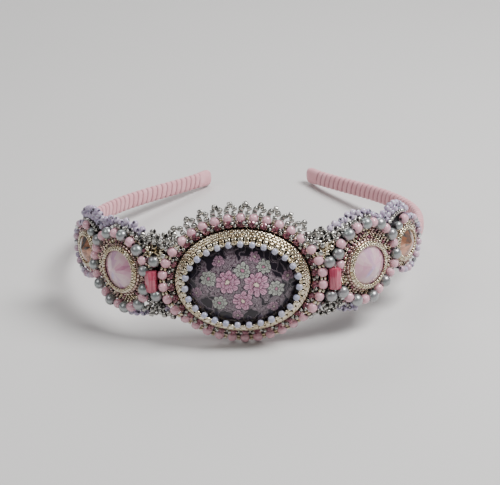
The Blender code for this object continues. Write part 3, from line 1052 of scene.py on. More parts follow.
GARLAND = (
    PrintFlower(Motif.BUD, -15.3, -2.4, 2.0, 5, 0.0),
    PrintFlower(Motif.BUD, 15.2, 3.0, 2.0, 5, 0.9),
    PrintFlower(Motif.BUD, -7.4, 8.4, 2.1, 5, 0.4),
    PrintFlower(Motif.BUD, 10.3, -7.6, 2.0, 5, 1.3),
    PrintFlower(Motif.BUD, -1.8, -10.6, 2.1, 5, 0.2),
    PrintFlower(Motif.BUD, 4.6, 9.9, 2.0, 5, 0.2),
    PrintFlower(Motif.DAISY, -11.0, 2.6, 2.9, 8, 0.3),
    PrintFlower(Motif.DAISY, 11.4, -1.4, 3.0, 8, 1.1),
    PrintFlower(Motif.DAISY, -7.6, -5.9, 2.8, 8, 0.8),
    PrintFlower(Motif.DAISY, 7.4, 6.4, 2.7, 8, 0.1),
    PrintFlower(Motif.ROSE, -4.6, 1.4, 4.3, 9, 0.0),
    PrintFlower(Motif.ROSE, 4.9, 0.4, 4.5, 9, 0.6),
    PrintFlower(Motif.ROSE, 0.2, -5.2, 3.7, 7, 1.2),
    PrintFlower(Motif.DAISY, 0.4, 5.3, 2.9, 8, 0.5),
)


@dataclass(frozen=True)
class PrintedGlass(Finish):
    """A print of folk flowers strewn over marbled paper, under clear polished glass."""

    ground: Colour = (0.012, 0.008, 0.015)
    mauve: Colour = (0.115, 0.070, 0.095)
    pale: Colour = (0.33, 0.265, 0.30)
    flowers: tuple[PrintFlower, ...] = GARLAND
    combing: tuple[float, float, float] = (0.17, 1.0, 13.0)
    swaying: tuple[float, float, float] = (0.45, 2.0, 1.8)
    patches: tuple[float, float, float] = (0.36, 0.22, 0.0)
    rim_oval: tuple[float, float, float] = (0.050, 0.0667, 0.0)

    def marbling(self, sheet: NodeSheet, where: Socket, rim: Socket) -> Socket:
        """Return the paper: mauve and dark combed patches with thin pale lines between.

        Args:
            sheet: the material being laid out.
            where: places in millimetres.
            rim: 0 in the middle to 1 at the cabochon's edge.

        Returns:
            The colour.
        """
        combed = sheet.vector("MULTIPLY", sheet.drift(where, *self.combing), self.patches)
        patch, border = (
            sheet.add("ShaderNodeTexVoronoi", voronoi_dimensions="2D", feature=feature)
            for feature in ("F1", "DISTANCE_TO_EDGE")
        )
        for node in (patch, border):
            node.inputs["Scale"].default_value = 1.0
            sheet.feed(node.inputs["Vector"], combed)
        part = sheet.add("ShaderNodeSeparateColor")
        sheet.feed(part.inputs[0], patch.outputs["Color"])
        edge = border.outputs["Distance"]
        fine = sheet.noise(1.5, 5.0, where)
        body = sheet.mix(sheet.ease(fine, 0.36, 0.64), self.mauve, self.pale)
        comb = sheet.math("SINE", sheet.math("MULTIPLY", edge, 46.0))
        body = sheet.mix(sheet.ease(comb, 0.60, 0.95), body, self.ground)
        chosen = sheet.math("MULTIPLY_ADD", rim, 0.50, part.outputs[0])
        paper = sheet.mix(sheet.ease(chosen, 0.69, 0.73), body, self.ground)
        paper = sheet.mix(sheet.ease(edge, 0.075, 0.050), paper, self.pale)
        return sheet.mix(sheet.ease(edge, 0.040, 0.022), paper, self.ground)

    def paint(
        self, sheet: NodeSheet, under: Socket, flower: PrintFlower, where: Socket, grain: Socket
    ) -> Socket:
        """Paint one flower over what is there.

        Args:
            sheet: the material being laid out.
            under: the colour so far.
            flower: the flower.
            where: places in millimetres.
            grain: fine cloudy values.

        Returns:
            The colour with the flower's outline, two rings of veined petals and its heart.
        """
        shade, light, heart = INKS[flower.motif]
        local = sheet.vector("SUBTRACT", where, (flower.x, flower.y, 0.0))
        x, y, _ = sheet.parts(local)
        angle = sheet.math("ARCTAN2", y, x)
        reach = sheet.math("DIVIDE", sheet.vector("LENGTH", local), flower.size)
        colour = under
        for size, turn in ((1.0, flower.turn), (0.58, flower.turn + 0.5 * math.pi)):
            petal = sheet.math("MULTIPLY_ADD", angle, 0.5 * flower.petals, turn)
            lobe = sheet.math("POWER", sheet.math("ABSOLUTE", sheet.math("COSINE", petal)), 0.55)
            edge = sheet.math("MULTIPLY_ADD", lobe, 0.34 * size, 0.66 * size)
            inside = sheet.math("SUBTRACT", 1.0, sheet.math("DIVIDE", reach, edge))
            vein = sheet.math("SINE", sheet.math("MULTIPLY", petal, 7.0))
            body = sheet.math("MULTIPLY_ADD", grain, 0.5, sheet.math("MULTIPLY_ADD", vein, 0.14, 0.5))
            body = sheet.math("SUBTRACT", body, sheet.math("MULTIPLY", inside, 0.55))
            petals = sheet.mix(sheet.ease(body, 0.30, 0.85), shade, light)
            petals = sheet.mix(sheet.ease(lobe, 0.55, 0.35), petals, self.ground)
            petals = sheet.mix(sheet.ease(inside, 0.10, 0.04), petals, self.ground)
            colour = sheet.mix(sheet.ease(inside, -0.02, 0.01), colour, petals)
        dots = sheet.math("SINE", sheet.math("MULTIPLY", angle, 7.0))
        ring = sheet.math("MULTIPLY_ADD", dots, 0.035, reach)
        colour = sheet.mix(sheet.ease(ring, 0.24, 0.21), colour, self.ground)
        return sheet.mix(sheet.ease(ring, 0.19, 0.15), colour, heart)

    def make(self) -> bpy.types.Material:
        """Build the marbled paper, the flowers, the darker rim and the glass over them.

        Returns:
            The material.
        """
        sheet = NodeSheet(self.name)
        flat = sheet.vector("MULTIPLY", sheet.places(), (1.0 / MM, 1.0 / MM, 0.0))
        where = sheet.drift(flat, *self.swaying)
        grain = sheet.noise(2.4, 5.0, flat)
        reach = sheet.vector("LENGTH", sheet.vector("MULTIPLY", flat, self.rim_oval))
        rim = sheet.ease(reach, 0.50, 0.95)
        colour = self.marbling(sheet, where, rim)
        for flower in self.flowers:
            colour = self.paint(sheet, colour, flower, where, grain)
        colour = sheet.mix(sheet.math("MULTIPLY", rim, 0.50), colour, self.ground)
        return sheet.dress(
            Base_Color=colour,
            Roughness=sheet.scaled(grain, 0.28, 0.42),
            Specular_IOR_Level=0.1,
            Coat_Weight=1.0,
            Coat_Roughness=0.015,
            Coat_IOR=1.42,
        )


@dataclass(frozen=True)
class PaleFloor(Finish):
    """A plain pale studio floor."""

    colour: Colour = (0.60, 0.59, 0.58)
    pale: Colour = (0.63, 0.62, 0.61)

    def make(self) -> bpy.types.Material:
        """Build a matte surface with the faintest unevenness.

        Returns:
            The material.
        """
        sheet = NodeSheet(self.name)
        return sheet.dress(
            Base_Color=sheet.mix(sheet.noise(6.0), self.colour, self.pale),
            Roughness=0.85,
            Specular_IOR_Level=0.2,
        )


RIBBON = WoundRibbon("wound_ribbon_weave")
SUEDE = Suede("black_suede_nap")
THREAD = Thread("waxed_thread")
PRINT = PrintedGlass("print_under_glass")
GOLD = BeadGlass(
    "champagne_gold", (0.86, 0.79, 0.63), (0.42, 0.32, 0.18), 0.22, 1.0, coat=0.4, mottle=0.25
)
SILVER = BeadGlass("silver_lined_glass", (0.56, 0.55, 0.52), (0.29, 0.275, 0.25), 0.26, 0.88, coat=0.35)
CLEAR = BeadGlass("clear_foiled_glass", (0.74, 0.76, 0.78), (0.50, 0.51, 0.54), 0.10, 0.75, coat=1.0)
LILAC = BeadGlass(
    "lilac_pink_glass", (0.68, 0.47, 0.57), (0.50, 0.33, 0.44), 0.20, coat=0.7, subsurface=0.1,
)
BRONZE = BeadGlass("bronze_iris_glass", (0.64, 0.49, 0.41), (0.33, 0.19, 0.18), 0.18, 0.9, coat=0.7)
CLARET = BeadGlass("claret_cut_glass", (0.36, 0.11, 0.16), (0.12, 0.03, 0.05), 0.10, 0.4, coat=1.0)
SMOKE = BeadGlass("smoke_glass", (0.16, 0.15, 0.135), (0.04, 0.037, 0.035), 0.12, 0.7, coat=0.9)
PINK = BeadGlass(
    "pink_satin_glass", (0.76, 0.44, 0.50), (0.66, 0.36, 0.43), 0.25, coat=0.65, subsurface=0.3,
    mottle=0.4,
)
PEARL = PearlCoat("pearl_lustre")
OPAL = BeadGlass(
    "milk_opal_glass", (0.36, 0.38, 0.57), (0.47, 0.46, 0.54), 0.16, coat=0.8, transmission=0.1,
    subsurface=0.15, mottle=0.5, hole_shade_brightness=0.3,
)
LAVENDER = BeadGlass(
    "lavender_clear_glass", (0.60, 0.51, 0.64), (0.36, 0.27, 0.41), 0.14, coat=0.9, film=420.0,
    mottle=0.3, hole_shade_brightness=0.4,
)
ROSE = StreakedGlass("rose_tube_streaks")
FLOOR = PaleFloor("pale_floor")

SEED = BeadForm(0.00098, 0.00080, 0.00040, 0.42, sides=14, rows=8, end_shade=0.45)
FINE_SEED = BeadForm(0.00070, 0.00052, 0.00024, 0.5, sides=9, rows=6, end_shade=0.4)
WALL_BEAD = BeadForm(0.00066, 0.00066, 0.00028, 0.4, sides=10, rows=7, end_shade=0.6)
LIP_BEAD = BeadForm(0.00104, 0.00086, 0.00036, 0.5, sides=14, rows=8, end_shade=0.85)
TINY = BeadForm(0.00052, 0.00044, 0.00018, 0.5, sides=8, rows=6, end_shade=0.5)
BAR = BeadForm(0.00052, 0.00062, 0.00018, 0.4, sides=8, rows=6, end_shade=0.4)
OPAL_BEAD = BeadForm(0.00114, 0.00106, 0.00034, 0.95, sides=16, rows=12, end_shade=0.35)
DROP = BeadForm(0.00108, 0.00096, 0.00034, 0.85, sides=14, rows=9, end_shade=0.6)
CRYSTAL = BeadForm(0.00086, 0.00070, 0.00024, 0.8, sides=7, rows=4, faceted=True)
ROUND_BEAD = BeadForm(0.00170, 0.00155, 0.00036, 0.92, sides=18, rows=12)
PEARL_BEAD = BeadForm(0.00205, 0.00198, 0.00036, 0.98, sides=22, rows=14)
SMALL_PEARL = BeadForm(0.00160, 0.00155, 0.00030, 0.98, sides=18, rows=12)
SMALL_ROUND = BeadForm(0.00124, 0.00112, 0.00030, 0.92, sides=14, rows=10, end_shade=0.3)
CRYSTAL_DROP = BeadForm(0.00100, 0.00092, 0.00026, 0.8, sides=8, rows=5, faceted=True)


@dataclass(frozen=True)
class WrappedBand:
    """The hair band, wound with ribbon from end to end."""

    pitch: float = 0.0028
    groove: float = 0.00075
    slant: float = 0.26
    end_length: float = 0.0085
    end_swell: float = 0.04
    swollen_at: float = 0.75
    closing_from: float = 0.72
    wound_until: float = 0.2
    face_power: float = 0.72
    edge_power: float = 0.78
    ridge_power: float = 2.2
    tip_power: float = 2.4
    tip_size: float = 0.02
    girth_share: float = 1.7
    sides: int = 30
    rows_per_ridge: int = 8
    end_rows: int = 21

    @property
    def body(self) -> float:
        """Return half the length between the folded ends."""
        return BAND.half_length - self.end_length

    def stations(self) -> np.ndarray:
        """Choose where the band's rings stand.

        Returns:
            Arcs from one end to the other, closer together at the ends.
        """
        ridges = round(2 * self.body / self.pitch)
        middle = np.linspace(-self.body, self.body, ridges * self.rows_per_ridge + 1)
        share = np.sin(np.linspace(0.0, math.pi / 2, self.end_rows + 1))[1:]
        tip = self.body + share * self.end_length
        return np.concatenate([-tip[::-1], middle, tip])

    def build(self) -> None:
        """Build the ribbon's ridges along the arms and its smooth folded ends."""
        arcs = self.stations()
        along = np.clip((np.abs(arcs) - self.body) / self.end_length, 0.0, 1.0)
        swell = np.sin(np.clip(along / self.swollen_at, 0, 1) * math.pi / 2) ** 2
        closing = np.clip(along - self.closing_from, 0, 1) / (1.0 - self.closing_from)
        closed = np.sqrt(np.clip(1.0 - closing ** self.tip_power, 0.0, 1.0))
        scale = np.maximum((1.0 + self.end_swell * swell) * closed, self.tip_size)[:, None]
        angles = 2 * math.pi * np.arange(self.sides) / self.sides
        across = rounded(np.cos(angles), self.face_power)
        upward = rounded(np.sin(angles), self.edge_power)
        phase = (arcs[:, None] + self.slant * upward * BAND_WIDTH) / self.pitch
        place = np.abs(2 * (phase - np.floor(phase)) - 1.0)
        ridge = np.sqrt(1.0 - np.minimum(place, 1.0) ** self.ridge_power)
        wound = np.clip(1.0 - along / self.wound_until, 0.0, 1.0)[:, None]
        relief = 1.0 - wound * (1.0 - ridge)
        inset = self.groove * (1.0 - relief)
        out = across * (BAND_THICKNESS * scale - inset)
        up = upward * (BAND_WIDTH * scale - inset)
        made = skin("ribbon_wound_band", BAND.place(arcs[:, None], out, up), RIBBON)
        # the ribbon's material paints shade in the grooves from this relief
        set_values(made, RELIEF, relief.ravel(), "POINT")
        self.lay_weave(made, arcs)
        settle(made, "ribbon", "hair_band")
        LOG.info("ribbon_wound_band: %d rings", len(arcs))

    def lay_weave(self, made: bpy.types.Object, arcs: np.ndarray) -> None:
        """Keep the lengths along and around the band, in metres, as the weave's own map.

        Args:
            made: the band.
            arcs: the arcs of its rings.
        """
        half_girth = (BAND_WIDTH + BAND_THICKNESS) * self.girth_share
        layer = made.data.uv_layers.new(name=WEAVE)
        corners = np.zeros(len(made.data.loops), np.int32)
        made.data.loops.foreach_get("vertex_index", corners)
        row, column = np.divmod(corners, self.sides)
        weave = np.stack([arcs[row], half_girth * np.abs(column / self.sides * 2 - 1)], 1)
        layer.data.foreach_set("uv", weave.astype(np.float32).ravel())


@dataclass(frozen=True)
class Oval:
    """An oval on the band's face, by its centre and half sizes."""

    arc: float
    up: float
    half_arc: float
    half_up: float

    def reach(self, arcs: np.ndarray) -> np.ndarray:
        """Measure how far the oval reaches above and below its middle.

        Args:
            arcs: where along the band.

        Returns:
            The reach, not a number beyond the oval's ends.
        """
        share = (arcs - self.arc) / self.half_arc
        with np.errstate(invalid="ignore"):
            return self.half_up * np.sqrt(1.0 - share * share)

    def grown(self, by: float) -> Oval:
        """Return the oval made larger all round."""
        return Oval(self.arc, self.up, self.half_arc + by, self.half_up + by)

    def at(self, angles: np.ndarray) -> np.ndarray:
        """Return (arc, up) at angles counted from the side away from the centre."""
        return ellipse(self.half_arc, self.half_up, angles) + np.array([self.arc, self.up])

    def holds(self, spots: np.ndarray) -> np.ndarray:
        """Tell which places (arc, up) lie inside the oval."""
        shares = (spots - (self.arc, self.up)) / (self.half_arc, self.half_up)
        return np.sum(shares ** 2, axis=1) < 1.0


@dataclass(frozen=True)
class FoundationCloth:
    """The suede strip under the beadwork, sewn round its edge."""

    ovals: tuple[Oval, ...] = (
        Oval(0.0, -0.0021, 0.0246, 0.0202),
        Oval(0.0270, -0.0006, 0.0090, 0.0108),
        Oval(0.0402, 0.0010, 0.0122, 0.0136),
        Oval(0.0515, 0.0026, 0.0070, 0.0092),
        Oval(0.0596, 0.0034, 0.0080, 0.0100),
    )
    end: float = 0.0676
    step: float = 0.0005
    edge: float = 0.0004
    corner_points: int = 4
    face_points: int = 14
    edge_points: int = 4001
    stitch_pitch: float = 0.0021
    stitch_reach: float = 0.0011
    stitch_lean: float = 0.6
    stitch_margin: float = 0.0001
    stitch_points: int = 7
    thread: float = 0.00013
    thread_sides: int = 6

    @property
    def arcs(self) -> np.ndarray:
        """Return the arcs of the strip's rings."""
        return np.linspace(-self.end, self.end, round(2 * self.end / self.step) + 1)

    def edges(self, arcs: np.ndarray) -> Ring:
        """Find the outline of all the medallions together.

        Args:
            arcs: where along the band.

        Returns:
            The strip's lower and upper edge.
        """
        reaches = [(oval.up, oval.reach(np.abs(arcs))) for oval in self.ovals]
        low = np.nanmin([up - reach for up, reach in reaches], axis=0)
        high = np.nanmax([up + reach for up, reach in reaches], axis=0)
        return low, high

    def build(self) -> bpy.types.Object:
        """Build the strip with a rounded edge.

        Returns:
            The cloth.
        """
        low, high = (edge[:, None] for edge in self.edges(self.arcs))
        turn = np.linspace(0.0, math.pi / 2, self.corner_points)
        depth, inset = self.edge * (1 - np.cos(turn)), self.edge * (1 - np.sin(turn))
        rim = np.concatenate([CLOTH_BACK + depth, CLOTH_FRONT - depth[::-1]])
        inset = np.concatenate([inset, inset[::-1]])
        share = np.linspace(0.0, 1.0, self.face_points)
        face = low + self.edge + share * (high - low - 2 * self.edge)
        front, back = (np.full(len(share), out) for out in (CLOTH_FRONT, CLOTH_BACK))
        out = np.concatenate([rim, front, rim[::-1], back])
        up = np.concatenate([low + inset, face, high - inset[::-1], face[:, ::-1]], axis=1)
        made = skin("foundation_suede", BAND.place(self.arcs[:, None], out, up), SUEDE)
        settle(made, "foundation_cloth", "foundation_cloth")
        LOG.info("foundation_suede: %d rings", len(self.arcs))
        return made

    def build_stitches(self) -> bpy.types.Object:
        """Build the slanting stitches that show along the edge of the cloth's back.

        Returns:
            The stitches.
        """
        points, faces = [], []
        fine = np.linspace(-self.end, self.end, self.edge_points)
        turn = np.linspace(0.0, 1.0, self.stitch_points)
        out = CLOTH_BACK + (0.5 - np.sin(turn * math.pi) ** 0.5) * self.thread
        for edge, inward in zip(self.edges(fine), (1.0, -1.0)):
            walk = np.hypot(np.diff(fine), np.diff(edge))
            length = np.concatenate([[0.0], np.cumsum(walk)])
            spots = np.arange(0.5 * self.stitch_pitch, length[-1], self.stitch_pitch)
            for arc, up in zip(np.interp(spots, length, fine), np.interp(spots, length, edge)):
                aslant = arc + (turn - 0.5) * self.stitch_lean * self.stitch_reach
                across = up + inward * (self.stitch_margin + turn * self.stitch_reach)
                path = BAND.place(aslant, out, across)
                ring, ring_faces = tube(path, self.thread, self.thread_sides)
                faces.append(ring_faces + sum(map(len, points)))
                points.append(ring)
        made = make_object(
            "edge_stitches", np.concatenate(points), np.concatenate(faces), [THREAD.material()]
        )
        settle(made, "foundation_cloth")
        LOG.info("edge_stitches: %d stitches", len(points))
        return made

    def declare(self, cloth: bpy.types.Object, stitches: bpy.types.Object) -> None:
        """Work out the cloth's lower and upper edges, which nothing uses further.

        Args:
            cloth: the cloth; not used.
            stitches: the stitches along its edge; not used.
        """
        low, high = self.edges(self.arcs)


def tube(path: np.ndarray, radius: float, sides: int) -> Ring:
    """Lay a thread along a path, drawn to a point at both ends.

    Args:
        path: the middle line's points.
        radius: the thread's radius.
        sides: the number of sides.

    Returns:
        Points and four-sided faces.
    """
    along = unit(np.gradient(path, axis=0))
    hint = np.where(np.abs(along[:, 2:]) < 0.9, np.array([0.0, 0.0, 1.0]), np.array([1.0, 0.0, 0.0]))
    side = unit(np.cross(along, hint))
    third = np.cross(along, side)
    size = np.full(len(path), radius)
    size[[0, -1]] = 0.15 * radius
    angles = (2 * math.pi * np.arange(sides) / sides)[None, :, None]
    ring = np.cos(angles) * side[:, None] + np.sin(angles) * third[:, None]
    points = path[:, None] + size[:, None, None] * ring
    return points.reshape(-1, 3), grid_faces(len(path), sides, False, True)


@dataclass(frozen=True)
class NetRow:
    """One row of the netting; outset and height are millimetres, share is of the spacing."""

    form: BeadForm
    finish: Finish
    share: float
    outset: float
    height: float


@dataclass(frozen=True)
class PicotRow:
    """One row of the silver edging, placed as CentreMedallion.strung says."""

    share: float
    outset: float
    lift: float
    limit: float
    wobble: float = 0.15
    lean: float = 0.0


NETTING = (
    NetRow(CRYSTAL, CLARET, 0.00, 5.00, 1.0), NetRow(CRYSTAL, CLARET, -0.18, 4.25, 0.9),
    NetRow(CRYSTAL, CLARET, 0.17, 4.20, 0.9), NetRow(FINE_SEED, CLARET, 0.0, 3.75, 0.8),
    NetRow(FINE_SEED, SILVER, -0.30, 4.95, 1.5), NetRow(FINE_SEED, BRONZE, 0.30, 4.95, 0.8),
    NetRow(FINE_SEED, SILVER, 0.50, 3.95, 1.1), NetRow(FINE_SEED, SMOKE, 0.50, 5.10, 0.5),
    NetRow(TINY, BRONZE, -0.22, 3.62, 0.5), NetRow(TINY, GOLD, 0.22, 3.62, 0.5),
    NetRow(TINY, BRONZE, 0.50, 3.50, 0.4),
)
PICOTS = (
    PicotRow(0.50, 1.55, 0.3, 76.0), PicotRow(0.0, 2.00, -0.4, 72.0),
    PicotRow(-0.08, 3.35, 0.0, 62.0, lean=0.9), PicotRow(-0.60, 3.35, 0.0, 62.0, lean=-0.9),
    PicotRow(-0.34, 4.75, 0.1, 61.0, wobble=0.3),
)


@dataclass(frozen=True)
class CentreMedallion:
    """The oval cabochon with its beaded walls, rings and edging.

    Rows of the gold wall and what lies over it are (outset, height) pairs in millimetres, counted
    from the cabochon's edge and from the cloth.
    """

    up: float = -0.0021
    half_length: float = 0.020
    half_height: float = 0.015
    edge: float = 0.0025
    dome: float = 0.0050
    foot_share: float = 0.93
    top_share: float = 0.012
    dome_columns: int = 96
    dome_rows: int = 26
    wall_columns: int = 164
    wall_gap: float = 0.0012
    wall: tuple[Spot, ...] = ((2.20, 0.75), (2.12, 1.95), (1.75, 3.10), (1.15, 4.15))
    lip: Spot = (0.30, 5.3)
    bars: Spot = (-0.55, 6.6)
    links: Spot = (-0.40, 6.4)
    link_shares: Spot = (0.30, 0.70)
    opals: int = 27
    opal_row: Spot = (-0.9, 6.6)
    net_foot: float = 2.9
    net_width: float = 2.1
    sag: float = 1.3
    pinks: int = 34
    ring: Oval = Oval(0.0, -0.0019, 0.0260, 0.0211)
    low_out: float = CLOTH_BACK + 0.0013
    high_out: float = CLOTH_FRONT + GAP + 0.0015
    rise_from: float = math.radians(46.0)
    rise_to: float = math.radians(32.0)
    string_gap: float = 0.5
    string_lift: float = 0.2

    def seat(self) -> Seat:
        """Return the medallion's flat place on the cloth."""
        return BAND.seat(0.0, self.up)

    def build_cabochon(self) -> None:
        """Build the polished dome over its print."""
        share = np.sin(np.linspace(0.0, math.pi / 2, self.dome_rows))[::-1]
        share = np.concatenate([[self.foot_share, 1.0, 1.0], share[1:]])
        height = GAP + self.edge + self.dome * np.sqrt(np.clip(1.0 - share ** 2, 0, 1))
        height[:3] = (GAP, 2 * GAP, GAP + self.edge)
        share[-1] = self.top_share
        angles = 2 * math.pi * np.arange(self.dome_columns) / self.dome_columns
        rings = np.empty((len(share), len(angles), 3))
        rings[..., :2] = share[:, None, None] * ellipse(self.half_length, self.half_height, angles)
        rings[..., 2] = height[:, None]
        made = skin("centre_cabochon_glass", rings, PRINT)
        made.matrix_world = self.seat().matrix()
        settle(made, "printed_glass", "centre_cabochon")
        LOG.info("centre_cabochon_glass: %d rings", len(share))

    def angles(self, count: int, share: float = 0.0) -> np.ndarray:
        """Return angles of evenly spaced beads, from the top, moved by a share of their spacing."""
        return spaced_angles(self.half_length, self.half_height, count, share)

    def around(self, outset: float, height: float, angles: np.ndarray, sag: float = 0.0) -> Ring:
        """Lay a ring round the cabochon.

        Args:
            outset: distance outside the cabochon's edge, in millimetres.
            height: distance over the cloth, in millimetres.
            angles: the beads' angles.
            sag: how much nearer the cabochon the ring lies at the bottom, in millimetres.

        Returns:
            The places and the directions along the ring.
        """
        half_x = self.half_length + outset * MM
        half_y = self.half_height + (outset - sag * np.maximum(0.0, -np.sin(angles))) * MM
        flat = ellipse(half_x, half_y, angles)
        local = np.column_stack([flat, np.full(len(angles), height * MM)])
        tangent = np.column_stack([-half_x * np.sin(angles), half_y * np.cos(angles), 0 * angles])
        seat = self.seat()
        return seat.points(local), unit(seat.vectors(tangent))

    def build_bezel(self) -> None:
        """Build the woven gold wall, its row of larger beads and the bars between the opals."""
        work = BeadWork("gold_woven_bezel", 11)
        half_x, half_y = self.half_length + self.wall_gap, self.half_height + self.wall_gap
        angles = even_angles(half_x, half_y, self.wall_columns, 0.0)
        for row, (outset, height) in enumerate(self.wall):
            ring = self.around(outset, height, angles[row % 2 :: 2])
            work.add(WALL_BEAD, GOLD, *ring, wobble=0.02, spread=0.01)
        work.add(LIP_BEAD, GOLD, *self.around(*self.lip, self.angles(2 * self.opals)))
        work.add(BAR, GOLD, *self.around(*self.bars, self.angles(self.opals, 0.5)))
        for share in self.link_shares:
            work.add(TINY, GOLD, *self.around(*self.links, self.angles(self.opals, share)))
        work.join("gold_beads", "centre_bezel")

    def build_opals(self) -> None:
        """Build the milky beads that lean in over the cabochon."""
        work = BeadWork("opal_bead_ring", 12)
        ring = self.around(*self.opal_row, self.angles(self.opals))
        work.add(OPAL_BEAD, OPAL, *ring, wobble=0.25, spread=0.06)
        work.join("opal_glass")

    def build_netting(self) -> None:
        """Build the net of crystals and seeds between the gold wall and the pink ring."""
        work = BeadWork("claret_netting", 13)
        for row in NETTING:
            sag = self.sag * (row.outset - self.net_foot) / self.net_width
            ring = self.around(row.outset, row.height, self.angles(self.pinks, row.share), sag)
            work.add(row.form, row.finish, *ring, wobble=0.35)
        work.join("claret_crystal", "centre_crystal_ring")

    def on_ring(self, turns: np.ndarray, outset: float, lift: float) -> np.ndarray:
        """Find places beside the pink ring, which climbs onto the cloth at its sides.

        Args:
            turns: angles of the ring's oval.
            outset: distance outside the ring's line, in millimetres.
            lift: distance in front of it, in millimetres.

        Returns:
            The places.
        """
        arc, up = self.ring.grown(outset * MM).at(turns).T
        steep = np.arcsin(np.abs(np.sin(turns)))
        climb = np.clip((steep - self.rise_from) / (self.rise_to - self.rise_from), 0, 1)
        rise = climb * climb * (3 - 2 * climb)
        out = self.low_out + rise * (self.high_out - self.low_out)
        return BAND.place(arc, out + lift * MM, up)

    def strung(
        self, share: float, outset: float = 0.0, lift: float = 0.0, limit: float = 180.0
    ) -> Ring:
        """Lay beads along the pink ring.

        Args:
            share: how far past each pink bead, as a share of their spacing.
            outset: distance outside the ring's line, in millimetres.
            lift: distance in front of it, in millimetres.
            limit: how far from the top the beads reach, in degrees of the oval's angle.

        Returns:
            The places and the directions along the ring.
        """
        turns = spaced_angles(self.ring.half_arc, self.ring.half_up, self.pinks, share)
        from_top = np.abs((turns + 0.5 * math.pi) % (2 * math.pi) - math.pi)
        turns = turns[from_top <= math.radians(limit)]
        before, here, after = (
            self.on_ring(turns + step, outset, lift) for step in (-0.01, 0.0, 0.01)
        )
        return here, unit(after - before)

    def build_pinks(self) -> None:
        """Build the ring of round pink beads with two gold bars between neighbours."""
        work = BeadWork("pink_bead_ring_strung", 14)
        work.add(ROUND_BEAD, PINK, *self.strung(0.0))
        for outset in (-self.string_gap, self.string_gap):
            work.add(BAR, GOLD, *self.strung(0.5, outset, self.string_lift))
        work.join("pink_beads", "pink_bead_ring")

    def build_picots(self) -> None:
        """Build the scalloped silver edging: a plain row, pairs above it and a tip on each pair."""
        work = BeadWork("silver_picot_edging", 15)
        for row in PICOTS:
            places, tangents = self.strung(row.share, row.outset, row.lift, row.limit)
            outward = unit(places - self.strung(row.share, 0.0, row.lift, row.limit)[0])
            axes = unit(tangents + row.lean * outward)
            work.add(SEED, SILVER, places, axes, wobble=row.wobble)
        work.join("silver_beads", "centre_picot_edge")


FIELD_BLEND = ((BRONZE, 0.44), (CLARET, 0.62), (GOLD, 1.0))


